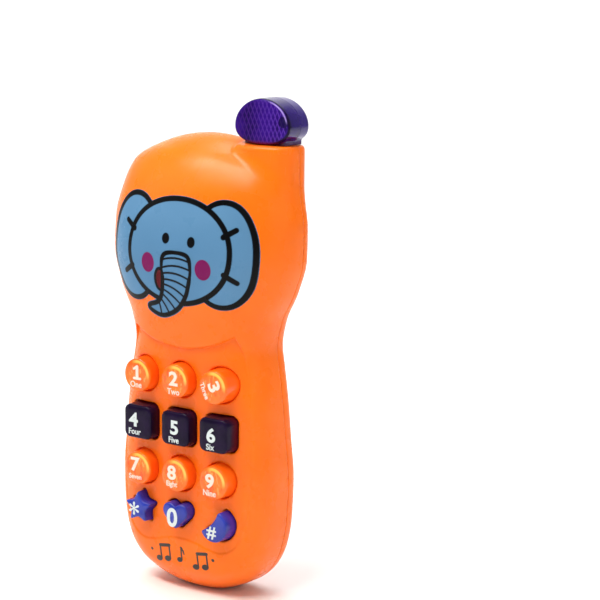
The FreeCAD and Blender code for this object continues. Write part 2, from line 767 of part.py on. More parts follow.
KT, KF, KB = g("key_top"), g("key_flange_front"), g("key_flange_back")
for name, (col, row, kind) in KEYS.items():
    x, z = key_place(name)
    if kind == "round":
        body = doc.addObject("PartDesign::Body", name)
        flange_sk = circle_sketch(body, name + "_flange", "XZ_Plane", "key_flange_r", "key_flange_back")
        flange = body.newObject("PartDesign::Pad", name + "_flange_pad")
        flange.Profile = flange_sk
        flange.setExpression("Length", "Sheet.key_flange_front - Sheet.key_flange_back")
        stem_sk = circle_sketch(body, name + "_stem", "XZ_Plane", "key_round_base_r", "key_flange_back")
        stem = body.newObject("PartDesign::Pad", name + "_stem_pad")
        stem.Profile = stem_sk
        stem.setExpression("Length", "Sheet.key_top - Sheet.key_flange_back")
        stem.setExpression(
            "TaperAngle",
            "atan2(Sheet.key_round_top_r - Sheet.key_round_base_r; Sheet.key_top - Sheet.key_flange_back)",
        )
        doc.recompute()
        rim = [
            "Edge%d" % (i + 1)
            for i, e in enumerate(stem.Shape.Edges)
            if abs(e.BoundBox.YMax + KT) < 1e-4 and abs(e.BoundBox.YMin + KT) < 1e-4
        ]
        soft = body.newObject("PartDesign::Fillet", name + "_edge")
        soft.Base = (stem, rim)
        soft.setExpression("Radius", "Sheet.key_edge_r")
        doc.recompute()
        before = soft.Shape.Volume
        hollow_sk = circle_sketch(body, name + "_hollow", "XZ_Plane", "dome_inner_r", "key_flange_back")
        hollow_sk.setExpression("Constraints.size", "Sheet.key_round_top_r - Sheet.key_skin")
        hollow = body.newObject("PartDesign::Pocket", name + "_hollow_pocket")
        hollow.Profile = hollow_sk
        hollow.setExpression("Length", "Sheet.key_top - Sheet.key_flange_back - Sheet.key_skin")
        hollow.Reversed = True
        doc.recompute()
        if not hollow.Shape.Volume < before - 100:
            raise RuntimeError(name + ": the hollow doesn't cut")
        body.Tip = hollow
        body.Placement = Pl(V(x, 0, z), Rot())
        body.setExpression("Placement.Base.x", "Sheet.key_pitch * %d" % col)
        body.setExpression("Placement.Base.z", "Sheet.%s" % row)
        keep(body, name)
        continue
    if kind == "square":
        ring_pts = square_ring(g("key_square_half"), g("key_square_corner"))
        flange_pts = square_ring(g("key_square_half") + 0.65, g("key_square_corner") + 0.65)
        draft = 0.055
    else:
        ring_pts = RINGS[kind]
        flange_pts = resample(grow_ring(smooth_ring(ring_pts, 8), 0.95), 96)
        draft = 0.06
    stem = soft_cap(ring_pts, draft, {"star": 0.45, "moon": 0.4, "square": g("key_edge_r")}.get(kind, 0.7))
    flange = ring_prism(flange_pts, 0, 0, -KF, -KB)
    hollow_ring = scaled(ring_pts, {"star": 0.72, "square": 0.78}.get(kind, 0.74))
    hollow = ring_prism(hollow_ring, 0, 0, -KT + g("key_skin") + 0.1, -KB + 0.5)
    shape = stem.fuse(flange).cut(hollow).removeSplitter()
    feature(name, shape, Pl(V(x, 0, z), Rot()))

# ------------------------------------------------------------------- rubber keypad
RB = g("rubber_back")
sheet_front = RB + g("rubber_sheet")


def pad_plate(half_low, half_high, z0, z_mid, z1, y0, y1, corner):
    pts = [
        (half_low, z0), (half_low, z_mid), (half_high, z1), (-half_high, z1),
        (-half_low, z_mid), (-half_low, z0),
    ]
    poly = Part.makePolygon([V(p[0], y0, p[1]) for p in pts + [pts[0]]])
    solid = Part.Face(poly).extrude(V(0, y1 - y0, 0))
    ed = [e for e in solid.Edges if abs(e.Vertexes[0].Point.y - e.Vertexes[1].Point.y) > 1e-6]
    return solid.makeFillet(corner, ed)


rubber = pad_plate(29.0, 25.8, 22.5, 80.0, 97.5, -sheet_front, -RB, 2.0)
domes, inners, pills, pads = [], [], [], []
for name in KEYS:
    x, z = key_place(name)
    DT = g("dome_top")
    domes.append(cone(x, z, -DT, -sheet_front + 0.2, g("dome_top_r"), g("dome_base_r")))
    inners.append(rod(x, z, -DT + g("dome_roof"), -RB + 0.5, g("dome_inner_r")))
    y_pill = -DT + g("dome_roof")
    pills.append(rod(x, z, y_pill, y_pill + g("pill_thickness"), g("pill_r")))
    ring_pad = rod(x, z, -g("board_front") - g("pad_thickness"), -g("board_front"), 3.4)
    ring_pad = ring_pad.cut(box(x - 0.25, x + 0.25, -13, -10, z - 2.4, z + 4))
    ring_pad = ring_pad.cut(box(x - 1.75, x - 1.25, -13, -10, z - 4, z + 2.4))
    ring_pad = ring_pad.cut(box(x + 1.25, x + 1.75, -13, -10, z - 4, z + 2.4))
    pads.append(ring_pad)
rubber = fuse([rubber] + domes)
rubber = cut(rubber, inners)
for x, z in BOARD_SCREWS:
    rubber = rubber.cut(rod(x, z, -16, -5, 2.6))
feature("rubber_keypad", rubber)
feature("carbon_pills", Part.makeCompound(pills))
feature("key_contacts", Part.makeCompound(pads))

# ------------------------------------------------------------------- circuit board
board = pad_plate(30.0, 25.0, 21.5, 82.0, 105.0, -g("board_front"), -g("board_back"), 2.5)
for x, z in BOARD_SCREWS:
    board = board.cut(rod(x, z, -14, -8, 1.25))
WIRE_HOLES = [(-20.0, 96.0), (-16.5, 96.0), (16.5, 96.0), (20.0, 96.0), (18.0, 92.0), (-18.0, 92.0)]
for x, z in WIRE_HOLES:
    board = board.cut(rod(x, z, -14, -8, 0.5))
feature("circuit_board", board)

YB = -g("board_back")
blob = Part.makeSphere(9.0, V(0, YB - 7.4, 93.5)).common(box(-6, 6, YB + 0.02, YB + 3, 87, 100))
feature("sound_chip", blob)

parts = []
for x, z in ((-12.0, 86.5), (-12.0, 90.0), (12.0, 86.5), (12.0, 90.0)):
    body_r = Part.makeCylinder(0.95, 4.6, V(x - 2.3, YB + 1.25, z), V(1, 0, 0))
    ends = [e for e in body_r.Edges if e.Length < 7 and abs(e.BoundBox.XLength) < 1e-6]
    body_r = body_r.makeFillet(0.35, ends)
    lead = [
        Part.makeCylinder(0.22, 1.3, V(x - 3.4, YB + 1.25, z), V(1, 0, 0)),
        Part.makeCylinder(0.22, 1.3, V(x + 2.1, YB + 1.25, z), V(1, 0, 0)),
        Part.makeCylinder(0.22, 1.2, V(x - 3.4, YB + 0.05, z), V(0, 1, 0)),
        Part.makeCylinder(0.22, 1.2, V(x + 3.4, YB + 0.05, z), V(0, 1, 0)),
    ]
    parts.append(fuse([body_r] + lead))
feature("resistors", Part.makeCompound(parts))

cap_x, cap_z = -15.2, 103.0
can = Part.makeCylinder(2.5, 8.0, V(cap_x, YB + 0.3, cap_z - 1.5), V(0, 1, 0))
can = can.makeFillet(0.5, [e for e in can.Edges if abs(e.BoundBox.YLength) < 1e-6])
can = can.cut(box(cap_x - 2, cap_x + 2, YB + 8.0, YB + 9, cap_z - 1.65, cap_z - 1.35))
can = can.cut(box(cap_x - 0.15, cap_x + 0.15, YB + 8.0, YB + 9, cap_z - 3.5, cap_z + 0.5))
feature("capacitor", can)

tr_x, tr_z = 15.2, 101.0
t_body = Part.makeCylinder(2.3, 4.4, V(tr_x, YB + 1.6, tr_z), V(0, 1, 0)).cut(box(tr_x - 3, tr_x + 3, YB, YB + 8, tr_z + 1.2, tr_z + 4))
legs = [Part.makeCylinder(0.24, 1.8, V(tr_x + dx, YB + 0.05, tr_z), V(0, 1, 0)) for dx in (-1.27, 0, 1.27)]
feature("transistor", fuse([t_body] + legs))

# light-emitting diodes between the key rows, under the rubber sheet's level
lamps = []
for x, z in ((-9.4, 77.35), (9.4, 77.35), (-9.4, 58.55), (9.4, 58.55)):
    lamp = Part.makeCylinder(1.5, 2.0, V(x, YB + 0.05, z), V(0, 1, 0)).cut(box(x - 3, x + 3, -9.0, -5, z - 3, z + 3))
    lamps.append(lamp)
feature("keypad_leds", Part.makeCompound(lamps))

joints_s = []
for x, z in WIRE_HOLES:
    dome = Part.makeSphere(1.1, V(x, YB, z)).common(box(x - 2, x + 2, YB + 0.02, YB + 2, z - 2, z + 2))
    joints_s.append(dome.cut(rod(x, z, YB - 1, YB + 3, 0.47)))
feature("solder_joints", Part.makeCompound(joints_s))

# ------------------------------------------------------------------- batteries and contacts
CR, CY, CX = g("cell_r"), g("cell_y"), g("cell_gap_x")
CELL_LOW = 25.0


def cell_solid(x, up):
    can = Part.makeCylinder(CR, g("cell_length"), V(x, CY, CELL_LOW), V(0, 0, 1))
    can = can.makeFillet(0.6, [e for e in can.Edges if abs(e.BoundBox.ZLength) < 1e-6])
    z = CELL_LOW + g("cell_length") if up else CELL_LOW
    nub = Part.makeCylinder(g("cell_nub_r"), g("cell_nub"), V(x, CY, z), V(0, 0, 1 if up else -1))
    nub = nub.makeFillet(0.3, [e for e in nub.Edges if abs(e.BoundBox.ZLength) < 1e-6 and abs(e.BoundBox.ZMax - (z + (g("cell_nub") if up else -g("cell_nub")))) < 1e-6])
    return can.fuse(nub)


feature("battery_cell_left", cell_solid(-CX, True))
feature("battery_cell_right", cell_solid(CX, False))
CELL_HIGH = CELL_LOW + g("cell_length")

bottom_plate = box(-14.3, 14.3, -6.0, 6.4, BL + 0.02, BL + 0.42)
button = Part.makeCone(3.4, 2.2, CELL_LOW - g("cell_nub") - 0.05 - BL - 0.4, V(CX, CY, BL + 0.4), V(0, 0, 1))
feature("battery_bridge", fuse([bottom_plate, button]))
top_plate = box(-14.0, -1.4, -6.0, 6.4, BT - 0.42, BT - 0.02)
top_button = Part.makeCone(3.4, 2.2, BT - 0.4 - (CELL_HIGH + g("cell_nub") + 0.05), V(-CX, CY, BT - 0.4), V(0, 0, -1))
tag = box(-9.0, -7.0, -BF + 0.05, -6.0, BT - 0.42, BT - 0.02)
feature("battery_positive_contact", fuse([top_plate, top_button, tag]))
neg_plate = box(1.4, 14.0, -6.0, 6.4, BT - 0.42, BT - 0.02)
tag2 = box(7.0, 9.0, -BF + 0.05, -6.0, BT - 0.42, BT - 0.02)
feature("battery_negative_contact", fuse([neg_plate, tag2]))


def coil(x, z0, z1, r0, r1, turns, wire):
    pts = []
    steps = int(turns * 16)
    for i in range(steps + 1):
        u = i / float(steps)
        ang = 2 * math.pi * turns * u
        r = r0 + (r1 - r0) * u
        # the last turn lies flat
        rise = min(max((u - 0.06) / 0.80, 0.0), 1.0)
        pts.append(V(x + r * math.cos(ang), CY + r * math.sin(ang), z0 + (z1 - z0) * rise))
    path = Part.BSplineCurve()
    path.interpolate(pts)
    edge = path.toShape()
    tangent = path.tangent(path.FirstParameter)[0]
    prof = Part.Wire([Part.makeCircle(wire, pts[0], tangent)])
    return Part.Wire([edge]).makePipeShell([prof], True, True)


low_spring = coil(-CX, BL + 0.42 + 0.40, CELL_LOW - 0.42, 5.0, 3.0, 3.5, 0.38)
high_spring = coil(CX, BT - 0.42 - 0.40, CELL_HIGH + 0.42, 5.0, 3.0, 3.2, 0.38)
feature("battery_springs", Part.makeCompound([low_spring, high_spring]))

# ------------------------------------------------------------------- speaker
SZ, SR = g("speaker_z"), g("speaker_r")


def revolve_y(points, z):
    # (radius, y) profile turned about a line along Y
    poly = Part.makePolygon([V(p[0], p[1], z) for p in points + [points[0]]])
    return Part.Face(poly).revolve(V(0, 0, z), V(0, 1, 0), 360)


basket = revolve_y([(9.2, -3.0), (15.2, 2.6), (15.4, 5.4), (SR, 5.4), (SR, 6.4), (14.6, 6.4), (14.4, 3.4), (8.4, -2.2), (4.3, -2.2), (4.3, -3.0)], SZ)
for k in range(4):
    ang = math.radians(45 + 90 * k)
    wnd = rod(11.7 * math.cos(ang), SZ + 11.7 * math.sin(ang), -6.0, 3.2, 2.2)
    basket = basket.cut(wnd)
feature("speaker_frame", basket)
feature("speaker_magnet", revolve_y([(3.9, -3.05), (9.0, -3.05), (9.0, -7.0), (3.9, -7.0)], SZ))
feature("speaker_yoke", revolve_y([(0.0, -7.05), (8.6, -7.05), (9.2, -7.6), (9.2, -8.4), (0.0, -8.4)], SZ).fuse(rod(0, SZ, -7.1, -1.4, 3.2)).removeSplitter())
cone_pts = [(3.9, -1.0), (11.3, 4.4), (12.1, 4.9), (12.9, 5.25), (13.6, 4.9), (14.3, 6.45), (16.6, 6.45), (16.6, 6.75), (14.0, 6.75), (13.45, 5.5), (12.9, 5.75), (11.9, 5.4), (11.0, 4.9), (3.9, -0.5)]
feature("speaker_cone", revolve_y(cone_pts, SZ))
cap_pts = []
for i in range(9):
    ang = math.radians(90.0 * i / 8)
    cap_pts.append((4.9 * math.sin(ang), 0.6 + 1.9 * math.cos(ang)))
shell_pts = cap_pts + [(4.55, 0.6)] + [(4.5 * math.sin(math.radians(90.0 * i / 8)), 0.6 + 1.55 * math.cos(math.radians(90.0 * i / 8))) for i in range(7, -1, -1)]
feature("speaker_dust_cap", revolve_y(shell_pts, SZ))
feature("speaker_voice_coil", revolve_y([(3.35, -6.0), (3.75, -6.0), (3.75, -0.3), (3.35, -0.3)], SZ))

# ------------------------------------------------------------------- antenna light
LX, LZ = g("lens_x"), g("lens_z")


def egg(shrink_by, count=72):
    pts = []
    a = g("lens_half_width") - shrink_by
    up, down = g("lens_up") - shrink_by, g("lens_down") - shrink_by
    n_up, n_down = 2.05, 2.35
    for i in range(count):
        ang = 2 * math.pi * i / count
        c, s = math.cos(ang), math.sin(ang)
        n = n_up if s >= 0 else n_down
        x = a * math.copysign(abs(c) ** (2.0 / n), c)
        # the crown leans to the left
        zz = (up if s >= 0 else down) * math.copysign(abs(s) ** (2.0 / n), s)
        lean = -1.1 * max(zz, 0.0) / up * (1 - abs(c) ** 2)
        pts.append((x + lean, zz))
    return pts


def egg_wire(shrink_by, y):
    return closed_curve([V(LX + p[0], y, LZ + p[1]) for p in egg(shrink_by)])


def lens_half(side):
    s = -1.0 if side == "front" else 1.0
    deep = g("lens_front") if side == "front" else g("lens_rear")
    stations = [(0.0, 0.0), (0.3, deep - g("lens_round"))]
    for step in (1, 2, 3, 4):
        ang = math.radians(22.5 * step)
        stations.append((0.3 + g("lens_round") * (1 - math.cos(ang)), deep - g("lens_round") * (1 - math.sin(ang))))
    body = Part.makeLoft([egg_wire(inset, s * y) for inset, y in stations], True, True, False)
    if body.Volume < 0:
        body.reverse()
    t = g("lens_wall")
    hollow = Part.makeLoft([egg_wire(t, -s * 0.5), egg_wire(t + 0.35, s * (deep - t))], True, True, False)
    if hollow.Volume < 0:
        hollow.reverse()
    y0, y1 = sorted((0.0, s * 4.0))
    neck = box(22.0, 34.0, y0, y1, 173.2, LZ - g("lens_down") + 2.2)
    foot = box(20.2, 35.8, y0, y1, 173.2, 175.6)
    body = body.fuse(neck).fuse(foot)
    body = body.cut(hollow)
    z0, z1 = sorted((-s * 0.5, s * 2.6))
    body = body.cut(box(23.6, 32.4, z0, z1, 170.0, LZ))
    if side == "front":
        body = body.fuse(rod(35.6, 188.2, -deep + t - 0.3, -0.05, 2.1))
    else:
        body = body.fuse(rod(35.6, 188.2, 0.05, deep - t + 0.3, 2.1))
    gapped = box(0, 60, 0.02, 20, 150, 220) if side == "front" else box(0, 60, -20, 0.05, 150, 220)
    body = body.cut(gapped)
    return body.removeSplitter()


feature("antenna_lens_front", lens_half("front"))
feature("antenna_lens_rear", lens_half("rear"))

led_body = Part.makeCylinder(2.45, 6.2, V(28.0, 0, 181.2), V(0, 0, 1)).fuse(Part.makeSphere(2.45, V(28.0, 0, 187.4)))
led_rim = Part.makeCylinder(2.55, 1.0, V(28.0, 0, 180.2), V(0, 0, 1))
leads = [Part.makeCylinder(0.25, 9.0, V(28.0 + dx, 0, 171.4), V(0, 0, 1)) for dx in (-1.27, 1.27)]
feature("antenna_led", fuse([led_body, led_rim] + leads))

# ------------------------------------------------------------------- face sticker


def ellipse_prism(x, z, a, b, tilt):
    major, minor = (a, b) if a >= b else (b, a)
    el = Part.Ellipse(V(0, 0, 0), major, minor)
    sh = el.toShape()
    wire = Part.Wire([sh])
    m = Pl(V(0, 0, 0), Rot(V(0, 0, 1), 0 if a >= b else 90)).multiply(Pl())
    face = Part.Face(wire)
    face.Placement = m
    f2 = face.copy()
    prism = f2.extrude(V(0, 0, 40))
    # lay it down so that the extrusion runs along -Y
    prism = prism.copy()
    prism.Placement = Pl(V(x, 0, z), Rot(V(0, 1, 0), -tilt).multiply(Rot(V(1, 0, 0), 90))).multiply(prism.Placement)
    return prism


head_face = ellipse_prism(0.0, 144.0, 20.5, 20.0, 0)
ear_l = ellipse_prism(-21.5, 145.0, 10.5, 17.0, 8)
ear_r = ellipse_prism(21.5, 145.0, 10.5, 17.0, -8)
outline = head_face.fuse(ear_l).fuse(ear_r).removeSplitter()
outline = outline.common(box(-50, 50, -60, -8.0, 100, 175))
sticker = outline.common(outer_half("front", g("sticker_thickness"))).cut(outer_front)
feature("face_sticker", sticker)

# ------------------------------------------------------------------- wires


def cable(points, r=0.55):
    path = Part.BSplineCurve()
    path.interpolate([V(*p) for p in points])
    edge = path.toShape()
    tangent = path.tangent(path.FirstParameter)[0]
    prof = Part.Wire([Part.makeCircle(r, V(*points[0]), tangent)])
    return Part.Wire([edge]).makePipeShell([prof], True, True)


red = cable([(-8.0, -4.9, 81.0), (-8.4, -4.6, 84.5), (-12.0, -4.5, 92.5), (-16.5, -6.2, 96.6), (-16.5, -8.7, 96.0)])
black = cable([(8.0, -4.9, 81.0), (8.4, -4.6, 84.5), (12.0, -4.5, 92.5), (16.5, -6.2, 96.6), (16.5, -8.7, 96.0)])
feature("battery_wire_red", red)
feature("battery_wire_black", black)
sp1 = cable([(-20.0, -8.7, 96.0), (-20.6, -5.4, 98.0), (-19.5, -4.0, 108.0), (-17.0, -3.5, 120.0), (-14.5, -3.0, 131.0), (-13.4, -1.2, 134.6)])
sp2 = cable([(-18.0, -8.7, 92.0), (-22.4, -4.6, 96.5), (-22.8, -3.2, 108.0), (-20.6, -3.0, 122.0), (-18.6, -2.4, 132.0), (-16.6, -1.0, 137.0)])
feature("speaker_wires", Part.makeCompound([sp1, sp2]))
l1 = cable([(20.0, -8.7, 96.0), (21.0, -5.0, 98.5), (22.6, -4.8, 116.0), (22.8, -5.4, 134.0), (22.2, -5.0, 150.0), (22.2, -4.4, 161.0), (24.2, -2.4, 167.6), (26.73, -0.4, 170.6)])
l2 = cable([(18.0, -8.7, 92.0), (24.6, -6.6, 98.5), (26.0, -7.0, 116.0), (31.0, -7.4, 134.0), (32.6, -7.0, 150.0), (31.4, -4.0, 164.0), (29.27, -0.4, 170.6)])
feature("antenna_wires", Part.makeCompound([l1, l2]))

# ------------------------------------------------------------------- checks and export
doc.recompute()
for ob in doc.Objects:
    if any(s in ("Invalid", "Error") for s in ob.State):
        raise RuntimeError("%s failed: %s" % (ob.Label, ob.State))
os.makedirs("parts", exist_ok=True)
seen = set()
for ob in nodes:
    shape = ob.Shape
    if shape.isNull() or not shape.isValid():
        raise RuntimeError("%s has a null or invalid shape" % ob.Label)
    if not shape.Solids:
        raise RuntimeError("%s has no solid" % ob.Label)
    if ob.Label in seen:
        raise RuntimeError("%s is used twice" % ob.Label)
    seen.add(ob.Label)
    shape.exportStep("parts/%s.step" % ob.Label)
print("%d nodes" % len(nodes))
for ob in nodes:
    b = ob.Shape.BoundBox
    print("%-26s solids %2d vol %9.1f  x %7.2f %7.2f  y %7.2f %7.2f  z %7.2f %7.2f" % (ob.Label, len(ob.Shape.Solids), ob.Shape.Volume, b.XMin, b.XMax, b.YMin, b.YMax, b.ZMin, b.ZMax))
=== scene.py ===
import math

import bmesh
import bpy
import numpy as np
from mathutils import Matrix, Vector


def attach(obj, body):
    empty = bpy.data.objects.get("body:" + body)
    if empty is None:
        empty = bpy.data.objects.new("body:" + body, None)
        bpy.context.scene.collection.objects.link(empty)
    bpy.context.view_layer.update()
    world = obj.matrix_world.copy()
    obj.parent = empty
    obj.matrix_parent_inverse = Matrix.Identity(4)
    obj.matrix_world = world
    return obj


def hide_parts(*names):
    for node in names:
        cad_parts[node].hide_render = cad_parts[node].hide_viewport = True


# Toy cell phone. The CAD frame is loaded first, and everything else is built round it, in metres.
# The long moulded surfaces are worked out in millimetres and scaled once, when a mesh is made.

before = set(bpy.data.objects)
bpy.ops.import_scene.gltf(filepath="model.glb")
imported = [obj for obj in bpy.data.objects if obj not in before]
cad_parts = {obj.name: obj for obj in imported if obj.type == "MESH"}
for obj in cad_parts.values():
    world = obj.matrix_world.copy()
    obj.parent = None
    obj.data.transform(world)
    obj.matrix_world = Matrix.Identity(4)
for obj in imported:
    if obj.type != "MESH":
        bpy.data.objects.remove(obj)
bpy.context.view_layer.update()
MM = 0.001
COLL = bpy.context.scene.collection

# ----------------------------------------------------------------------------- body outline
SEC = np.array([
    (0.0, 10.1, 8.5, 6.0), (2.0, 15.8, 12.4, 7.2), (6.0, 23.6, 16.6, 8.4),
    (12.0, 29.6, 20.2, 9.1), (20.0, 33.5, 21.4, 9.4), (32.0, 35.9, 21.8, 9.2),
    (48.0, 36.6, 21.5, 9.2), (64.0, 35.1, 21.2, 9.2), (80.0, 33.5, 21.2, 9.2),
    (92.0, 31.8, 21.5, 9.5), (100.0, 30.8, 22.2, 9.4), (110.0, 32.8, 24.0, 9.2),
    (122.0, 38.6, 26.6, 9.2), (135.0, 42.5, 27.5, 9.6), (148.0, 42.9, 26.1, 9.5),
    (160.0, 40.1, 23.6, 9.2), (170.0, 36.2, 18.3, 7.9), (177.0, 23.9, 12.0, 5.6),
    (181.5, 4.6, 2.8, 1.2)])
POW = np.array([
    (0.0, 2.6, 2.6), (6.0, 3.0, 3.0), (20.0, 4.0, 3.8), (80.0, 4.0, 3.8),
    (100.0, 3.2, 3.5), (122.0, 2.6, 3.3), (160.0, 2.4, 2.8), (181.5, 2.2, 2.4)])
TOP = 181.64


def pchip(x, y, q):
    h = np.diff(x)
    d = np.diff(y) / h
    t = np.zeros(len(x))
    for i in range(1, len(x) - 1):
        if d[i - 1] * d[i] > 0:
            w1, w2 = 2 * h[i] + h[i - 1], h[i] + 2 * h[i - 1]
            t[i] = (w1 + w2) / (w1 / d[i - 1] + w2 / d[i])

    def end(h0, h1, d0, d1):
        e = ((2 * h0 + h1) * d0 - h0 * d1) / (h0 + h1)
        if e * d0 <= 0:
            return 0.0
        return 3 * d0 if d0 * d1 <= 0 and abs(e) > 3 * abs(d0) else e

    t[0], t[-1] = end(h[0], h[1], d[0], d[1]), end(h[-1], h[-2], d[-1], d[-2])
    i = np.clip(np.searchsorted(x, q, side="right") - 1, 0, len(x) - 2)
    u = (q - x[i]) / h[i]
    return ((1 + 2 * u) * (1 - u) ** 2 * y[i] + u * (1 - u) ** 2 * h[i] * t[i]
            + u * u * (3 - 2 * u) * y[i + 1] + u * u * (u - 1) * h[i] * t[i + 1])


ZT = np.arange(-4.0, 186.0, 0.05)


def measure_table(col):
    sq = SEC[:, col] ** 2
    inside = pchip(SEC[:, 0], sq, np.clip(ZT, 0, SEC[-1, 0]))
    rate = (sq[-1] - sq[-2]) / (SEC[-1, 0] - SEC[-2, 0])
    over = np.maximum(ZT - SEC[-1, 0], 0)
    low = np.minimum(ZT, 0)
    v = inside + rate * over + low * (sq[1] - sq[0]) / (SEC[1, 0] - SEC[0, 0]) * 0.4
    return np.sqrt(np.maximum(v, 0.25))


TA, TF, TR = measure_table(1), measure_table(2), measure_table(3)
# a light smoothing keeps the reflections even where two measured heights meet
kern = np.exp(-0.5 * (np.arange(-40, 41) * 0.05 / 0.7) ** 2)
kern /= kern.sum()


def soft(t):
    keep = ZT > 176.5
    out = np.convolve(np.pad(t, 40, mode="edge"), kern, mode="valid")
    w = np.clip((177.5 - ZT) / 2.0, 0, 1) * np.clip((ZT - 1.0) / 3.0, 0, 1)
    return t * (1 - w) + out * w


TA, TF, TR = soft(TA), soft(TF), soft(TR)
TNF = np.interp(ZT, POW[:, 0], POW[:, 1])
TNR = np.interp(ZT, POW[:, 0], POW[:, 2])
TNF = np.convolve(np.pad(TNF, 120, mode="edge"), np.ones(241) / 241, mode="valid")
TNR = np.convolve(np.pad(TNR, 120, mode="edge"), np.ones(241) / 241, mode="valid")


def look(table, z):
    f = np.clip((z - ZT[0]) / 0.05, 0, len(ZT) - 1.001)
    i = f.astype(np.int32)
    u = f - i
    return table[i] * (1 - u) + table[i + 1] * u


def half_distance(x, y, z, a, b, n, slope_a, slope_b):
    """Near-true distance to a squarish half section of half width a and depth b."""
    ax, ay = np.abs(x) / a, np.abs(y) / b
    m = np.maximum(np.maximum(ax, ay), 1e-6)
    ux, uy = ax / m, ay / m
    s = np.maximum(ux ** n + uy ** n, 1e-6)
    val = m * s ** (1.0 / n)
    k = s ** (1.0 / n - 1.0)
    gx = k * ux ** (n - 1) / a
    gy = k * uy ** (n - 1) / b
    gz = -(gx * ax * slope_a + gy * ay * slope_b)
    g = np.sqrt(gx * gx + gy * gy + gz * gz)
    return (val - 1.0) / np.maximum(g, 1e-6)


DA, DF, DR = np.gradient(TA, 0.05), np.gradient(TF, 0.05), np.gradient(TR, 0.05)


def smax(a, b, r):
    return np.minimum(-r, np.maximum(a, b)) + np.sqrt(np.maximum(a + r, 0) ** 2 + np.maximum(b + r, 0) ** 2)


def smin(a, b, r):
    return -smax(-a, -b, r)


def head_distance(x, y, z, side):
    a, sa = look(TA, z), look(DA, z)
    if side == "front":
        b, n, sb = look(TF, z), look(TNF, z), look(DF, z)
    else:
        b, n, sb = look(TR, z), look(TNR, z), look(DR, z)
    d = half_distance(x, y, z, a, b, n, sa, sb)
    high = z > 175.0
    if high.any():
        # near the crown the section shrinks to a point, so a bowl-shaped measure takes over
        zc = np.minimum(z[high], 181.2)
        rest = TOP - zc
        al, be = look(TA, zc) ** 2 / rest, look(TF if side == "front" else TR, zc) ** 2 / rest
        xs, ys = x[high], y[high]
        q = xs * xs / al + ys * ys / be - (TOP - z[high])
        q = q / np.sqrt((2 * xs / al) ** 2 + (2 * ys / be) ** 2 + 1.0)
        w = np.clip((z[high] - 175.0) / 3.0, 0, 1)
        w = w * w * (3 - 2 * w)
        d[high] = d[high] * (1 - w) + q * w
    return smax(d, -z, 1.4)


def shoulder_distance(x, y, z, side, t=0.0):
    if side == "front":
        face = -(y + (11.5 - 0.0155 * (x - 27.5) ** 2))
    else:
        face = y - (8.0 - 0.010 * (x - 27.5) ** 2)
    d = smax(smax(x - 40.6, face, 5.0), 17.0 - x, 1.0)
    d = smax(d + t, z - 178.75 + t, 1.7 - min(t, 1.0))
    return np.maximum(d, 146.0 - z)


def body_distance(x, y, z, side, t=0.0):
    d = head_distance(x, y, z, side) + t
    near = (z > 140) & (x > 5)
    if near.any():
        s = shoulder_distance(x[near], y[near], z[near], side, t)
        r = 2.6 if side == "front" else 2.0
        d[near] = smin(d[near], s, r)
    return d


# ----------------------------------------------------------------------------- plane shapes
class Plan:
    """A signed distance in the X-Z plane, sampled on a fine grid."""

    def __init__(self, x0, x1, z0, z1, step=0.2):
        self.x0, self.z0, self.step = x0, z0, step
        self.xs = np.arange(x0, x1 + step, step)
        self.zs = np.arange(z0, z1 + step, step)
        self.gx, self.gz = np.meshgrid(self.xs, self.zs, indexing="ij")
        self.v = np.full(self.gx.shape, 50.0)

    def polygon(self, pts):
        p = np.asarray(pts, float)
        d = np.full(self.gx.shape, 1e9)
        inside = np.zeros(self.gx.shape, bool)
        for (x1, z1), (x2, z2) in zip(p, np.roll(p, -1, 0)):
            ex, ez = x2 - x1, z2 - z1
            wx, wz = self.gx - x1, self.gz - z1
            t = np.clip((wx * ex + wz * ez) / max(ex * ex + ez * ez, 1e-12), 0, 1)
            d = np.minimum(d, (wx - ex * t) ** 2 + (wz - ez * t) ** 2)
            cross = (z1 > self.gz) != (z2 > self.gz)
            if abs(z2 - z1) > 1e-12:
                xi = (x2 - x1) * (self.gz - z1) / (z2 - z1) + x1
                inside ^= cross & (self.gx < xi)
        return np.where(inside, -1, 1) * np.sqrt(d)

    def __call__(self, x, z):
        fx = np.clip((x - self.x0) / self.step, 0, len(self.xs) - 1.001)
        fz = np.clip((z - self.z0) / self.step, 0, len(self.zs) - 1.001)
        i, j = fx.astype(np.int32), fz.astype(np.int32)
        u, w = fx - i, fz - j
        v = self.v
        return (v[i, j] * (1 - u) * (1 - w) + v[i + 1, j] * u * (1 - w)
                + v[i, j + 1] * (1 - u) * w + v[i + 1, j + 1] * u * w)


def spline(points, count, closed=True):
    """Points on a smooth curve through the given ones."""
    p = np.asarray(points, float)
    n = len(p)
    out = []
    segs = n if closed else n - 1
    for i in range(segs):
        if closed:
            q = [p[(i + k) % n] for k in (-1, 0, 1, 2)]
        else:
            q = [p[max(i - 1, 0)], p[i], p[i + 1], p[min(i + 2, n - 1)]]
        for u in np.linspace(0, 1, count, endpoint=False):
            out.append(0.5 * (2 * q[1] + (q[2] - q[0]) * u + (2 * q[0] - 5 * q[1] + 4 * q[2] - q[3]) * u * u
                              + (3 * q[1] - q[0] - 3 * q[2] + q[3]) * u ** 3))
    if not closed:
        out.append(p[-1])
    return np.array(out)


def ring_smooth(p, passes):
    p = np.asarray(p, float)
    for _ in range(passes):
        p = 0.25 * np.roll(p, 1, 0) + 0.5 * p + 0.25 * np.roll(p, -1, 0)
    return p


def ring_resample(p, count):
    p = np.asarray(p, float)
    q = np.vstack([p, p[:1]])
    run = np.concatenate([[0], np.cumsum(np.hypot(*np.diff(q, axis=0).T))])
    s = np.linspace(0, run[-1], count, endpoint=False)
    return np.stack([np.interp(s, run, q[:, 0]), np.interp(s, run, q[:, 1])], -1)


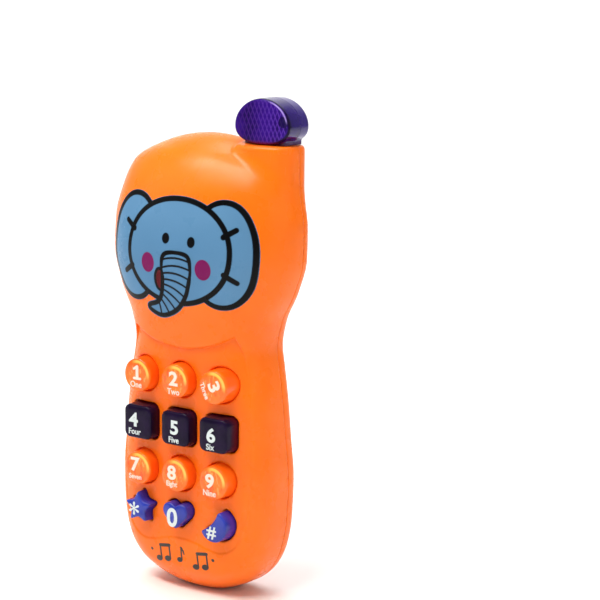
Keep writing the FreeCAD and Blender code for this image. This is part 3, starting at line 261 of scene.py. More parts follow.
def star_ring():
    p = [((7.35 if i % 2 == 0 else 3.75) * math.cos(math.radians(90 + 36 * i)),
          (7.35 if i % 2 == 0 else 3.75) * math.sin(math.radians(90 + 36 * i))) for i in range(10)]
    return ring_resample(ring_smooth(ring_resample(p, 120), 9), 72)


def grow_ring(p, d):
    p = np.asarray(p, float)
    t = np.roll(p, -1, 0) - np.roll(p, 1, 0)
    t /= np.hypot(t[:, 0], t[:, 1])[:, None]
    return p + d * np.stack([t[:, 1], -t[:, 0]], -1)


def heart_ring():
    t = 2 * np.pi * np.arange(160) / 160
    x = -16 * np.sin(t) ** 3
    z = 13 * np.cos(t) - 5 * np.cos(2 * t) - 2 * np.cos(3 * t) - np.cos(4 * t)
    p = np.stack([x * 0.395, z * 0.385 + 0.35], -1)
    p = grow_ring(ring_smooth(ring_resample(p, 120), 20), 0.35)
    return ring_resample(ring_smooth(ring_resample(p, 96), 4), 72)


def moon_ring():
    cx, cz, r = 0.05, 0.0, 6.9
    t = np.radians(np.linspace(-156, 68, 90))
    p = [(cx + r * math.cos(a), cz + r * math.sin(a)) for a in t]
    a, b = p[-1], p[0]
    mx, mz = (a[0] + b[0]) / 2, (a[1] + b[1]) / 2
    chord = math.hypot(a[0] - b[0], a[1] - b[1])
    nx, nz = (b[1] - a[1]) / chord, -(b[0] - a[0]) / chord
    if nx * (cx - mx) + nz * (cz - mz) < 0:
        nx, nz = -nx, -nz
    for i in range(1, 50):
        u = i / 50.0
        deep = 1.55 * 4 * u * (1 - u)
        p.append((a[0] + (b[0] - a[0]) * u + nx * deep, a[1] + (b[1] - a[1]) * u + nz * deep))
    return ring_resample(ring_smooth(ring_resample(p, 120), 12), 72)


RINGS = {"star": star_ring(), "heart": heart_ring(), "moon": moon_ring()}
PITCH = 18.8
ROWS = {"top": 86.8, "square": 67.9, "low": 49.2, "shapes": 33.0, "moon": 31.9}
KEYS = {
    "key_1": (-1, "top", "round"), "key_2": (0, "top", "round"), "key_3": (1, "top", "round"),
    "key_4": (-1, "square", "square"), "key_5": (0, "square", "square"), "key_6": (1, "square", "square"),
    "key_7": (-1, "low", "round"), "key_8": (0, "low", "round"), "key_9": (1, "low", "round"),
    "key_star": (-1, "shapes", "star"), "key_zero_heart": (0, "shapes", "heart"), "key_moon": (1, "moon", "moon")}
KEY_TOP, KEY_BASE_R, KEY_TOP_R, KEY_HALF, KEY_CORNER, KEY_GAP = 25.7, 6.95, 6.55, 7.1, 2.9, 0.35


def key_spot(name):
    col, row, _ = KEYS[name]
    return col * PITCH, ROWS[row]


# ----------------------------------------------------------------------------- surface nets
def surface_net(f, lo, hi, step, slab=48):
    """A closed quad mesh on f = 0. f takes flat arrays of x, y, z in millimetres, and is negative inside."""
    n = [int(math.ceil((h - l) / step)) + 1 for l, h in zip(lo, hi)]
    ax = [lo[k] + step * np.arange(n[k]) for k in range(3)]
    grid = np.empty(n, np.float32)
    X, Y = np.meshgrid(ax[0], ax[1], indexing="ij")
    for k0 in range(0, n[2], slab):
        zz = ax[2][k0:k0 + slab]
        x = np.repeat(X[:, :, None], len(zz), 2).ravel()
        y = np.repeat(Y[:, :, None], len(zz), 2).ravel()
        z = np.broadcast_to(zz, (n[0], n[1], len(zz))).ravel()
        grid[:, :, k0:k0 + len(zz)] = f(x, y, z).reshape(n[0], n[1], len(zz))
    grid[np.abs(grid) < 1e-6] = 1e-6
    neg = grid < 0
    c = neg[:-1, :-1, :-1].astype(np.uint8)
    total = np.zeros_like(c)
    for dx in (0, 1):
        for dy in (0, 1):
            for dz in (0, 1):
                total += neg[dx:n[0] - 1 + dx, dy:n[1] - 1 + dy, dz:n[2] - 1 + dz]
    active = (total > 0) & (total < 8)
    idx = np.full(active.shape, -1, np.int64)
    cells = np.argwhere(active)
    idx[active] = np.arange(len(cells))
    acc = np.zeros((len(cells), 3))
    cnt = np.zeros(len(cells))
    ci, cj, ck = cells.T
    corners = [(0, 0, 0), (1, 0, 0), (0, 1, 0), (1, 1, 0), (0, 0, 1), (1, 0, 1), (0, 1, 1), (1, 1, 1)]
    val = {c: grid[ci + c[0], cj + c[1], ck + c[2]] for c in corners}
    for a in corners:
        for axis in range(3):
            if a[axis]:
                continue
            b = tuple(a[k] + (1 if k == axis else 0) for k in range(3))
            va, vb = val[a], val[b]
            hit = (va < 0) != (vb < 0)
            t = np.where(hit, va / np.where(hit, va - vb, 1), 0)
            p = np.array(a, float)[None, :] * np.ones((len(cells), 1))
            p[:, axis] += t
            acc[hit] += p[hit]
            cnt[hit] += 1
    v = (cells + acc / np.maximum(cnt, 1)[:, None]) * step + np.array(lo)
    quads = []
    for axis in range(3):
        s0 = [slice(None)] * 3
        s1 = [slice(None)] * 3
        s0[axis], s1[axis] = slice(0, n[axis] - 1), slice(1, n[axis])
        flip = neg[tuple(s0)] != neg[tuple(s1)]
        u, w = (axis + 1) % 3, (axis + 2) % 3
        e = np.argwhere(flip)
        e = e[(e[:, u] > 0) & (e[:, w] > 0) & (e[:, u] < n[u] - 1) & (e[:, w] < n[w] - 1)]
        q = []
        for du, dw in ((0, 0), (-1, 0), (-1, -1), (0, -1)):
            g = e.copy()
            g[:, u] += du
            g[:, w] += dw
            q.append(idx[g[:, 0], g[:, 1], g[:, 2]])
        q = np.stack(q, -1)
        solid_first = neg[e[:, 0], e[:, 1], e[:, 2]]
        q[~solid_first] = q[~solid_first][:, ::-1]
        quads.append(q)
    return v, np.vstack(quads)


def settle(f, v, rounds=4, limit=0.35):
    """Moves points onto f = 0."""
    e = 0.01
    for _ in range(rounds):
        x, y, z = v.T
        d = f(x, y, z)
        g = np.stack([f(x + e, y, z) - f(x - e, y, z), f(x, y + e, z) - f(x, y - e, z), f(x, y, z + e) - f(x, y, z - e)], -1) / (2 * e)
        q = np.maximum((g * g).sum(1), 0.05)
        move = np.nan_to_num(-(d / q)[:, None] * g)
        size = np.sqrt((move ** 2).sum(1))
        move *= np.minimum(1, limit / np.maximum(size, 1e-9))[:, None]
        v = v + move
    return v


def relax(v, quads, rounds, f=None):
    """Evens out the spacing of the points, then puts them back on the surface."""
    for _ in range(rounds):
        acc = np.zeros_like(v)
        cnt = np.zeros(len(v))
        for a, b in ((0, 1), (1, 2), (2, 3), (3, 0)):
            np.add.at(acc, quads[:, a], v[quads[:, b]])
            np.add.at(acc, quads[:, b], v[quads[:, a]])
            np.add.at(cnt, quads[:, a], 1)
            np.add.at(cnt, quads[:, b], 1)
        v = 0.5 * v + 0.5 * acc / np.maximum(cnt, 1)[:, None]
        if f is not None:
            v = settle(f, v, 2)
    return v


def mesh_object(name, verts_mm, faces, smooth=True, material=None):
    me = bpy.data.meshes.new(name)
    verts = np.asarray(verts_mm, np.float64) * MM
    faces = np.asarray(faces)
    if faces.ndim == 2:
        k = faces.shape[1]
        me.vertices.add(len(verts))
        me.vertices.foreach_set("co", verts.astype(np.float32).ravel())
        me.loops.add(faces.size)
        me.loops.foreach_set("vertex_index", faces.astype(np.int32).ravel())
        me.polygons.add(len(faces))
        me.polygons.foreach_set("loop_start", np.arange(0, faces.size, k, dtype=np.int32))
        me.polygons.foreach_set("loop_total", np.full(len(faces), k, dtype=np.int32))
        me.update(calc_edges=True)
    else:
        me.from_pydata([tuple(p) for p in verts], [], [list(q) for q in faces])
    me.validate()
    ob = bpy.data.objects.new(name, me)
    COLL.objects.link(ob)
    if smooth:
        me.polygons.foreach_set("use_smooth", np.ones(len(me.polygons), bool))
    if material is not None:
        me.materials.append(material)
    return ob

# ----------------------------------------------------------------------------- front shell
arc = [(-24.2, 106.0)] + [
    (48.0 * math.cos(math.radians(-90 - 29.5 * (1 - 2 * i / 12.0))), 147.6 + 48.0 * math.sin(math.radians(-90 - 29.5 * (1 - 2 * i / 12.0))))
    for i in range(1, 12)] + [(24.2, 106.0)]
side_pts = [(24.6, 105.9), (26.9, 98.0), (28.6, 90.0), (30.2, 79.3), (31.3, 64.7), (31.3, 51.0),
            (30.4, 37.2), (28.4, 28.5), (24.6, 22.4), (19.0, 19.8), (13.0, 20.5), (6.5, 22.2)]
ring = [arc[-1]] + side_pts[1:] + [(0.0, 22.8)] + [(-p[0], p[1]) for p in reversed(side_pts[1:])] + [arc[0]]
PANEL_OUTLINE = np.vstack([spline(arc, 6, False)[:-1], spline(ring, 6, False)[:-1]])
panel = Plan(-36, 36, 14, 112, 0.25)
panel.v = panel.polygon(PANEL_OUTLINE)



key_holes = Plan(-36, 36, 14, 112, 0.2)


def ring_of(name, grow=0.0):
    kind = KEYS[name][2]
    x, z = key_spot(name)
    if kind == "round":
        t = np.linspace(0, 2 * np.pi, 96, endpoint=False)
        r = KEY_BASE_R + grow
        return np.stack([x + r * np.cos(t), z + r * np.sin(t)], -1)
    if kind == "square":
        h, c = KEY_HALF + grow, KEY_CORNER + grow
        p = []
        for i in range(4):
            cx = (h - c) * (1 if i in (0, 3) else -1)
            cz = (h - c) * (1 if i in (0, 1) else -1)
            for k in range(13):
                a = math.radians(90 * i + 90 * k / 12)
                p.append((x + cx + c * math.cos(a), z + cz + c * math.sin(a)))
        return np.array(p)
    return grow_ring(RINGS[kind], grow) + np.array([x, z])


for key in KEYS:
    x, z = key_spot(key)
    if KEYS[key][2] == "round":
        d = np.hypot(key_holes.gx - x, key_holes.gz - z) - (KEY_BASE_R + KEY_GAP)
    else:
        near = Plan(x - 12, x + 12, z - 12, z + 12, 0.2)
        d = np.full(key_holes.v.shape, 50.0)
        sub = key_holes.polygon(ring_of(key, KEY_GAP)) if KEYS[key][2] != "square" else None
        if sub is None:
            h, c = KEY_HALF + KEY_GAP, KEY_CORNER + KEY_GAP
            qx, qz = np.abs(key_holes.gx - x) - (h - c), np.abs(key_holes.gz - z) - (h - c)
            sub = np.hypot(np.maximum(qx, 0), np.maximum(qz, 0)) + np.minimum(np.maximum(qx, qz), 0) - c
        d = sub
    key_holes.v = np.minimum(key_holes.v, d)

TCORE = TF.copy()
over = ZT > 88.0
TCORE[over] = np.minimum(TCORE[over], 21.2 + 0.02 * (ZT[over] - 88.0))
TCORE = TCORE - 0.4
DCORE = np.gradient(TCORE, 0.05)
CASE = [(-13.0, 11.5), (13.0, 11.5), (-27.0, 161.0), (27.0, 161.0)]
BOARD_SCREWS = [(-28.0, 77.4), (28.0, 77.4), (-28.4, 40.6), (28.4, 40.6), (-9.4, 101.0), (9.4, 101.0)]


def front_inside(x, y, z, outer):
    """The cavity: everything 2 mm inside the wall, less the flat plate behind the keys and the posts."""
    cave = outer + 2.0
    plate = np.maximum.reduce([np.abs(x) - 28.6, y + 17.0, 19.0 - z, z - 99.0])
    cave = np.maximum(cave, -plate)
    for px, pz in CASE:
        m = (np.abs(x - px) < 5) & (np.abs(z - pz) < 5)
        if m.any():
            post = np.maximum(np.hypot(x[m] - px, z[m] - pz) - 3.3, y[m] + 0.4)
            hole = np.maximum(np.hypot(x[m] - px, z[m] - pz) - 1.35, -13.0 - y[m])
            cave[m] = np.minimum(smax(cave[m], -post, 0.3), hole)
    for px, pz in BOARD_SCREWS:
        m = (np.abs(x - px) < 4) & (np.abs(z - pz) < 4)
        if m.any():
            post = np.maximum(np.hypot(x[m] - px, z[m] - pz) - 2.1, y[m] + 11.48)
            hole = np.maximum(np.hypot(x[m] - px, z[m] - pz) - 1.12, -16.0 - y[m])
            cave[m] = np.minimum(smax(cave[m], -post, 0.3), hole)
    return cave


def front_shell_distance(x, y, z):
    outer = body_distance(x, y, z, "front")
    d = outer.copy()
    m = (z > 14) & (z < 112) & (y < -10) & (np.abs(x) < 36) & (np.abs(outer) < 4.0)
    if m.any():
        xm, ym, zm = x[m], y[m], z[m]
        a, sa = look(TA, zm) + 0.05, look(DA, zm)
        core = half_distance(xm, ym, zm, a, look(TCORE, zm), look(TNF, zm), sa, look(DCORE, zm))
        cutter = smax(panel(xm, zm), -core, 0.35)
        d[m] = smax(d[m], -cutter, 0.55)
    cave = np.full(x.shape, 9.0)
    k = outer < 6.0
    if k.any():
        cave[k] = front_inside(x[k], y[k], z[k], outer[k])
    d = np.maximum(d, -cave)
    if m.any():
        d[m] = smax(d[m], -np.maximum(key_holes(xm, zm), ym + 10.0), 0.3)
    slot = np.maximum.reduce([np.abs(x - 28.0) - 6.4, -4.3 - y, 172.0 - z])
    d = np.maximum(d, -slot)
    return smax(d, y + 0.06, 0.22)


def build_surface(name, f, lo, hi, step, rounds=4, body="housing"):
    v, q = surface_net(f, lo, hi, step)
    v = settle(f, v, rounds)
    v = relax(v, q, 1, f)
    return v, q


front_v, front_q = build_surface("front", front_shell_distance, (-44.5, -29.4, -1.0), (44.5, 0.9, 183.4), 0.42)


# ----------------------------------------------------------------------------- rear shell and battery cover
def rbox(x, z, x0, x1, z0, z1, r):
    qx = np.abs(x - (x0 + x1) / 2) - ((x1 - x0) / 2 - r)
    qz = np.abs(z - (z0 + z1) / 2) - ((z1 - z0) / 2 - r)
    return np.hypot(np.maximum(qx, 0), np.maximum(qz, 0)) + np.minimum(np.maximum(qx, qz), 0) - r


SPEAKER_Z = 147.0
GRILLE = [(0.0, 0.0)]
for count, radius in ((6, 2.9), (12, 5.8), (18, 8.7), (24, 11.6)):
    for k in range(count):
        ang = 2 * math.pi * (k + (0.5 if 5 < radius < 6 else 0.0)) / count
        GRILLE.append((radius * math.cos(ang), radius * math.sin(ang)))
SEAT = 7.3
BOSS_Z = 84.3


def rear_shell_distance(x, y, z):
    outer = body_distance(x, y, z, "rear")
    cave = outer + 2.0
    bay = np.maximum.reduce([np.abs(x) - 17.4, z - 79.9, 19.1 - z, y - 8.4])
    cave = np.maximum(cave, -bay)
    cave = np.maximum(cave, -np.maximum(np.hypot(x, z - BOSS_Z) - 3.4, y - 8.0))
    cave = np.maximum(cave, -np.maximum(np.abs(np.hypot(x, z - SPEAKER_Z) - 19.1) - 0.8, 3.4 - y))
    for px, pz in CASE:
        m = (np.abs(x - px) < 6) & (np.abs(z - pz) < 6)
        cave[m] = np.maximum(cave[m], -np.maximum(np.hypot(x[m] - px, z[m] - pz) - 3.8, y[m] - 9.0))
    d = np.maximum(outer, -cave)
    low = rbox(x, z, -22.7, 22.7, 19.3, 80.5, 2.5)
    seat = smax(rbox(x, z, -24.25, 24.25, 17.75, 88.25, 4.25), SEAT - y, 0.2)
    d = smax(d, -seat, 0.22)
    open_floor = np.maximum.reduce([low, 5.6 - y, -np.maximum.reduce([np.abs(x) - 17.4, 19.1 - z, z - 79.9])])
    d = np.maximum(d, -open_floor)
    hook = np.maximum.reduce([np.abs(np.abs(x) - 20.45) - 2.45, 3.0 - y, y - 7.35, 14.8 - z, z - 22.3])
    d = np.maximum(d, -hook)
    for px, pz in CASE:
        m = (np.abs(x - px) < 5) & (np.abs(z - pz) < 5)
        r = np.hypot(x[m] - px, z[m] - pz)
        d[m] = smax(np.maximum(d[m], -(r - 1.5)), -np.maximum(r - 2.8, 3.0 - y[m]), 0.25)
    m = (y > 4.5) & (np.hypot(x, z - SPEAKER_Z) < 14)
    if m.any():
        h = np.full(m.sum(), 9.0)
        for px, pz in GRILLE:
            h = np.minimum(h, np.hypot(x[m] - px, z[m] - SPEAKER_Z - pz) - 0.8)
        d[m] = smax(d[m], -h, 0.25)
    slot = np.maximum.reduce([np.abs(x - 28.0) - 6.4, y - 4.3, 172.0 - z])
    d = np.maximum(d, -slot)
    d = smax(d, 0.06 - y, 0.22)
    tub = np.maximum.reduce([np.abs(x) - 17.4, 19.1 - z, z - 79.9, -8.9 - y, y - 0.6])
    post = np.maximum.reduce([np.hypot(x, z - BOSS_Z) - 3.4, -1.0 - y, y - 0.6])
    d = np.minimum(np.minimum(d, tub), post)
    well = np.maximum.reduce([np.abs(x) - 16.0, 20.5 - z, z - 78.5, -7.5 - y])
    d = smax(d, -well, 0.2)
    return np.maximum(d, -np.maximum(np.hypot(x, z - BOSS_Z) - 1.65, -3.0 - y))


def cover_distance(x, y, z):
    outer = body_distance(x, y, z, "rear")
    d = smax(rbox(x, z, -24, 24, 18, 88, 4.0), outer, 0.35)
    d = smax(d, SEAT + 0.05 - y, 0.2)
    r = np.hypot(x, z - BOSS_Z)
    d = np.maximum(d, -(r - 1.55))
    d = smax(d, -np.maximum(r - 2.85, SEAT + 0.75 - y), 0.2)
    for k in range(5):
        zr = 68.55 + 2.6 * k
        rib = np.maximum(rbox(x, z, -9.0 + k * 1.2, 9.0 - k * 1.2, zr - 0.55, zr + 0.55, 0.5), 8.85 - y)
        d = smax(d, -rib, 0.15)
    for sx in (-1, 1):
        cx = sx * 20.45
        hook = np.maximum.reduce([np.abs(x - cx) - 1.95, 5.4 - y, y - 6.9, 15.8 - z, z - 21.2])
        stem = np.maximum.reduce([np.abs(x - cx) - 1.95, 5.4 - y, y - 7.7, 19.6 - z, z - 21.2])
        d = np.minimum(d, np.minimum(hook, stem))
    return d


rear_v, rear_q = build_surface("rear", rear_shell_distance, (-44.5, -9.6, -1.0), (44.5, 10.9, 183.4), 0.42)
cover_v, cover_q = build_surface("cover", cover_distance, (-25, 4.8, 14.8), (25, 10.2, 89), 0.3)


# ----------------------------------------------------------------------------- helpers for turned and stacked shapes
def stack(rings, close_ends=True):
    """A closed mesh through rings of (points, y), each (n, 2) in x and z; the two ends close on a point."""
    n = len(rings[0][0])
    verts, faces = [], []
    for pts, y in rings:
        yy = np.full(n, y) if np.isscalar(y) else np.asarray(y)
        verts.append(np.stack([pts[:, 0], yy, pts[:, 1]], -1))
    for k in range(len(rings) - 1):
        a, b = k * n, (k + 1) * n
        for i in range(n):
            j = (i + 1) % n
            faces.append((a + i, a + j, b + j, b + i))
    v = np.vstack(verts)
    c0, c1 = v[:n].mean(0), v[-n:].mean(0)
    v = np.vstack([v, c0, c1])
    m = len(v)
    for i in range(n):
        j = (i + 1) % n
        faces.append((m - 2, j, i))
        faces.append((m - 1, (len(rings) - 1) * n + i, (len(rings) - 1) * n + j))
    return v, faces


def poly_object(name, v, faces, material, smooth=True, auto=None):
    me = bpy.data.meshes.new(name)
    me.from_pydata([tuple(p * MM) for p in np.asarray(v, float)], [], [tuple(int(i) for i in f) for f in faces])
    bm = bmesh.new()
    bm.from_mesh(me)
    bmesh.ops.recalc_face_normals(bm, faces=bm.faces)
    bm.to_mesh(me)
    bm.free()
    ob = bpy.data.objects.new(name, me)
    COLL.objects.link(ob)
    me.polygons.foreach_set("use_smooth", np.full(len(me.polygons), smooth))
    if material is not None:
        me.materials.append(material)
    if auto is not None:
        me.set_sharp_from_angle(angle=math.radians(auto))
    return ob


def key_rings(name):
    """Outer and inner rings of a key cap round its own middle."""
    kind = KEYS[name][2]
    n = 96
    t = np.linspace(0, 2 * np.pi, n, endpoint=False)
    if kind == "round":
        base = np.stack([np.cos(t), np.sin(t)], -1) * KEY_BASE_R
        flange = np.stack([np.cos(t), np.sin(t)], -1) * 7.75
        draft, r, hollow = (KEY_BASE_R - KEY_TOP_R) / KEY_BASE_R, 0.9, 0.80
    elif kind == "square":
        h, c = KEY_HALF, KEY_CORNER
        p = []
        for i in range(4):
            cx = (h - c) * (1 if i in (0, 3) else -1)
            cz = (h - c) * (1 if i in (0, 1) else -1)
            for k in range(9):
                a = math.radians(90 * i + 90 * k / 8)
                p.append((cx + c * math.cos(a), cz + c * math.sin(a)))
        base = ring_resample(np.array(p), n)
        flange = grow_ring(base, 0.65)
        draft, r, hollow = 0.055, 1.15, 0.78
    else:
        base = ring_resample(RINGS[kind], n)
        flange = ring_resample(grow_ring(ring_smooth(ring_resample(RINGS[kind], 96), 8), 0.95), n)
        draft, r, hollow = 0.06, {"star": 0.8, "moon": 0.85, "heart": 1.0}[kind], 0.74
    return kind, base, flange, draft, r, hollow


def inset(ring, d, passes=0):
    out = grow_ring(ring, -d)
    return ring_smooth(out, passes) if passes else out


def key_cap(name, material, top=KEY_TOP):
    kind, base, flange, draft, r, hollow = key_rings(name)
    soft_pass = {"star": 4, "moon": 3, "heart": 2}.get(kind, 0)
    rings = []
    crown = 0.22 if kind == "round" else 0.16
    edge = base * (1 - draft)
    # crown of the face, from the middle out, then the rounded rim and the drafted side
    rim_in = inset(edge, r, soft_pass)
    for f in (0.08, 0.3, 0.5, 0.68, 0.82, 0.92):
        fall = crown * max(0.0, (f - 0.68) / 0.32) ** 2
        rings.append((rim_in * f, -top + fall))
    for k in range(0, 7):
        a = math.radians(90 * k / 6)
        rings.append((inset(edge, r * (1 - math.sin(a)), int(round(soft_pass * (1 - math.sin(a))))), -top + crown + (r * 0.8) * (1 - math.cos(a))))
    y_low = -top + crown + 0.8 * r
    for u in (0.25, 0.5, 0.75):
        f = 1 - draft * (1 - u)
        rings.append((base * f, y_low + (-16.95 - y_low) * u))
    rings.append((base, -17.0))
    rings.append((flange, -16.95))
    rings.append((flange, -15.98))
    inner = base * hollow
    rings.append((inner, -15.95))
    roof = -top + 1.3
    rings.append((inner * 0.99, (roof - 16) / 2))
    rings.append((inner * 0.985, roof + 0.3))
    rings.append((inner * 0.95, roof))
    rings.append((inner * 0.5, roof))
    rings.append((inner * 0.05, roof))
    v, faces = stack(rings)
    x, z = key_spot(name)
    v[:, 0] += x
    v[:, 2] += z
    ob = poly_object(name + "_cap", v, faces, material, True)
    # how far out each point lies on the face, and which way round, for the look of the clear keys: their strokes,
    # painted highlight arc and painted side shade
    out = [0.08, 0.3, 0.5, 0.68, 0.82, 0.92] + [1 + 0.1 * k for k in range(7)]
    out = np.array(out + [3.0] * (len(rings) - len(out)))
    reach = np.append(np.repeat(out, len(base)), [0.0, 3.0])
    way = np.append(np.tile(np.cos(np.arctan2(base[:, 1], base[:, 0]) - math.radians(52)), len(rings)), [0.0, 0.0])
    for attr, value in (("reach", reach), ("way", way)):
        ob.data.attributes.new(attr, "FLOAT", "POINT").data.foreach_set("value", value.astype(np.float32))
    ob.data.set_sharp_from_angle(angle=math.radians(50))
    return ob


def gem(name, material, turn=0.0):
    """The cut-glass insert seen through a round key: rings of facets."""
    x, z = key_spot(name)
    n = 24
    rings = []
    for k, (r, y) in enumerate(((0.5, -24.05), (1.9, -23.55), (3.3, -24.05), (4.4, -23.4), (5.15, -23.9), (5.2, -22.0), (5.0, -17.4), (3.0, -17.2), (0.5, -17.2))):
        t = np.linspace(0, 2 * np.pi, n, endpoint=False) + turn + (math.pi / n if k % 2 else 0)
        rr = r * (1 + (0.07 if k < 6 else 0) * np.cos(t * 12))
        rings.append((np.stack([x + rr * np.cos(t), z + rr * np.sin(t)], -1), y))
    v, faces = stack(rings)
    tri = []
    for f in faces:
        if len(f) == 4:
            tri += [(f[0], f[1], f[2]), (f[0], f[2], f[3])]
        else:
            tri.append(f)
    return poly_object(name + "_prism", v, tri, material, False)


# ----------------------------------------------------------------------------- painted films on the shell
def surface_y(x, z, lift):
    """Depth of the shell's outer face at x, z, raised by lift along the normal."""
    a, b, n = look(TA, z), look(TF, z), look(TNF, z)
    t = np.clip(1 - np.abs(x / a) ** n, 1e-3, 1)
    y = -b * t ** (1 / n)
    e = 0.01
    for _ in range(8):
        d = body_distance(x, y, z, "front") - lift
        g = (body_distance(x, y + e, z, "front") - body_distance(x, y - e, z, "front")) / (2 * e)
        step = np.clip(d / np.where(np.abs(g) < 0.15, -0.15, g), -0.8, 0.8)
        y = y - step
    return y


def smooth_mask(d, w):
    u = np.clip(0.5 - d / (2 * w), 0, 1)
    return u * u * (3 - 2 * u)


def film(name, X, Z, sdf, masks, material, depth, lift=0.09, sink=-0.08):
    """A thin closed sheet with painted masks. depth(x, z, lift) gives its place along Y."""
    step = X[1, 0] - X[0, 0]
    gx, gz = np.gradient(sdf, step)
    size = np.maximum(np.hypot(gx, gz), 1e-6)
    keep = sdf < 0.6 * step
    near = np.abs(sdf) < 0.62 * step
    x = np.where(near, X - sdf * gx / size ** 2, X)
    z = np.where(near, Z - sdf * gz / size ** 2, Z)
    cell = keep[:-1, :-1] & keep[1:, :-1] & keep[1:, 1:] & keep[:-1, 1:]
    # drop cells that touch only by a corner
    for _ in range(2):
        lone = cell.copy()
        a = cell[:-1, :-1] & cell[1:, 1:] & ~cell[:-1, 1:] & ~cell[1:, :-1]
        b = ~cell[:-1, :-1] & ~cell[1:, 1:] & cell[:-1, 1:] & cell[1:, :-1]
        lone[:-1, :-1] |= a | b
        lone[1:, 1:] |= a | b
        lone[:-1, 1:] |= a | b
        lone[1:, :-1] |= a | b
        cell = lone
    ci, cj = np.argwhere(cell).T
    used = np.zeros(X.shape, bool)
    for a, b in ((0, 0), (1, 0), (1, 1), (0, 1)):
        used[ci + a, cj + b] = True
    idx = np.full(X.shape, -1, np.int64)
    idx[used] = np.arange(used.sum())
    xs, zs = x[used], z[used]
    top = np.stack([xs, depth(xs, zs, lift), zs], -1)
    low = np.stack([xs, depth(xs, zs, sink), zs], -1)
    n = len(xs)
    quad = np.stack([idx[ci, cj], idx[ci + 1, cj], idx[ci + 1, cj + 1], idx[ci, cj + 1]], -1)
    faces = [quad, quad[:, ::-1] + n]
    edges = {}
    e = np.vstack([quad[:, [0, 1]], quad[:, [1, 2]], quad[:, [2, 3]], quad[:, [3, 0]]])
    key = np.sort(e, 1)
    _, first, inv, cnt = np.unique(key, axis=0, return_index=True, return_inverse=True, return_counts=True)
    rim = e[first[cnt == 1]]
    faces.append(np.stack([rim[:, 1], rim[:, 0], rim[:, 0] + n, rim[:, 1] + n], -1))
    ob = mesh_object(name, np.vstack([top, low]), np.vstack(faces), True, material)
    for mask, value in masks.items():
        layer = ob.data.attributes.new(mask, "FLOAT", "POINT")
        layer.data.foreach_set("value", np.tile(value[used], 2).astype(np.float32))
    me = ob.data
    me.set_sharp_from_angle(angle=math.radians(40))
    return ob


def oval(X, Z, cx, cz, rx, rz, turn=0.0, n=2.0):
    c, s = math.cos(turn), math.sin(turn)
    u, w = (X - cx) * c + (Z - cz) * s, -(X - cx) * s + (Z - cz) * c
    ax, az = np.abs(u) / rx, np.abs(w) / rz
    val = (ax ** n + az ** n + 1e-9) ** (1 / n)
    g = np.hypot(ax ** (n - 1) / rx, az ** (n - 1) / rz) * np.maximum(val, 1e-3) ** (1 - n)
    return (val - 1) / np.maximum(g, 1e-6)


def brush(X, Z, pts, widths):
    """Distance to a stroke with a changing width."""
    p = np.asarray(pts, float)
    w = np.interp(np.linspace(0, 1, len(p)), np.linspace(0, 1, len(widths)), widths) / 2
    d = np.full(X.shape, 1e9)
    for k in range(len(p) - 1):
        ex, ez = p[k + 1] - p[k]
        t = np.clip(((X - p[k, 0]) * ex + (Z - p[k, 1]) * ez) / max(ex * ex + ez * ez, 1e-9), 0, 1)
        d = np.minimum(d, np.hypot(X - p[k, 0] - ex * t, Z - p[k, 1] - ez * t) - (w[k] + (w[k + 1] - w[k]) * t))
    return d


def text_mesh(name, body, size, material, weight=0.0, depth=0.05):
    """A word as a thin closed mesh round the origin, facing -Y, in millimetres scaled to metres."""
    cu = bpy.data.curves.new(name, "FONT")
    cu.body = body
    cu.size = size
    cu.align_x, cu.align_y = "CENTER", "CENTER"
    cu.offset = weight
    cu.extrude = depth
    cu.resolution_u = 6
    cu.fill_mode = "BOTH"
    tmp = bpy.data.objects.new(name + "_t", cu)
    COLL.objects.link(tmp)
    bpy.context.view_layer.update()
    me = bpy.data.meshes.new_from_object(tmp.evaluated_get(bpy.context.evaluated_depsgraph_get()))
    bpy.data.objects.remove(tmp)
    co = np.zeros(len(me.vertices) * 3, np.float32)
    me.vertices.foreach_get("co", co)
    co = co.reshape(-1, 3).astype(float)
    x0, x1, z0, z1 = co[:, 0].min(), co[:, 0].max(), co[:, 1].min(), co[:, 1].max()
    return me, co - np.array([(x0 + x1) / 2, (z0 + z1) / 2, 0])


def glyph(name, body, size, x, z, y, material, weight=0.0, turn=0.0, squeeze=1.0, depth=0.05):
    me, co = text_mesh(name, body, size, material, weight, depth)
    c, s = math.cos(turn), math.sin(turn)
    u, w = co[:, 0] * squeeze, co[:, 1]
    out = np.stack([x + u * c - w * s, y - co[:, 2], z + u * s + w * c], -1) * MM
    me.vertices.foreach_set("co", out.astype(np.float32).ravel())
    me.materials.clear()
    me.materials.append(material)
    bm = bmesh.new()
    bm.from_mesh(me)
    bmesh.ops.remove_doubles(bm, verts=bm.verts, dist=1e-7)
    bmesh.ops.recalc_face_normals(bm, faces=bm.faces)
    bm.to_mesh(me)
    bm.free()
    me.update()
    ob = bpy.data.objects.new(name, me)
    COLL.objects.link(ob)
    return ob


# ----------------------------------------------------------------------------- materials
def lin(r, g, b):
    out = []
    for c in (r, g, b):
        c /= 255.0
        out.append(c / 12.92 if c <= 0.04045 else ((c + 0.055) / 1.055) ** 2.4)
    return (out[0], out[1], out[2], 1.0)


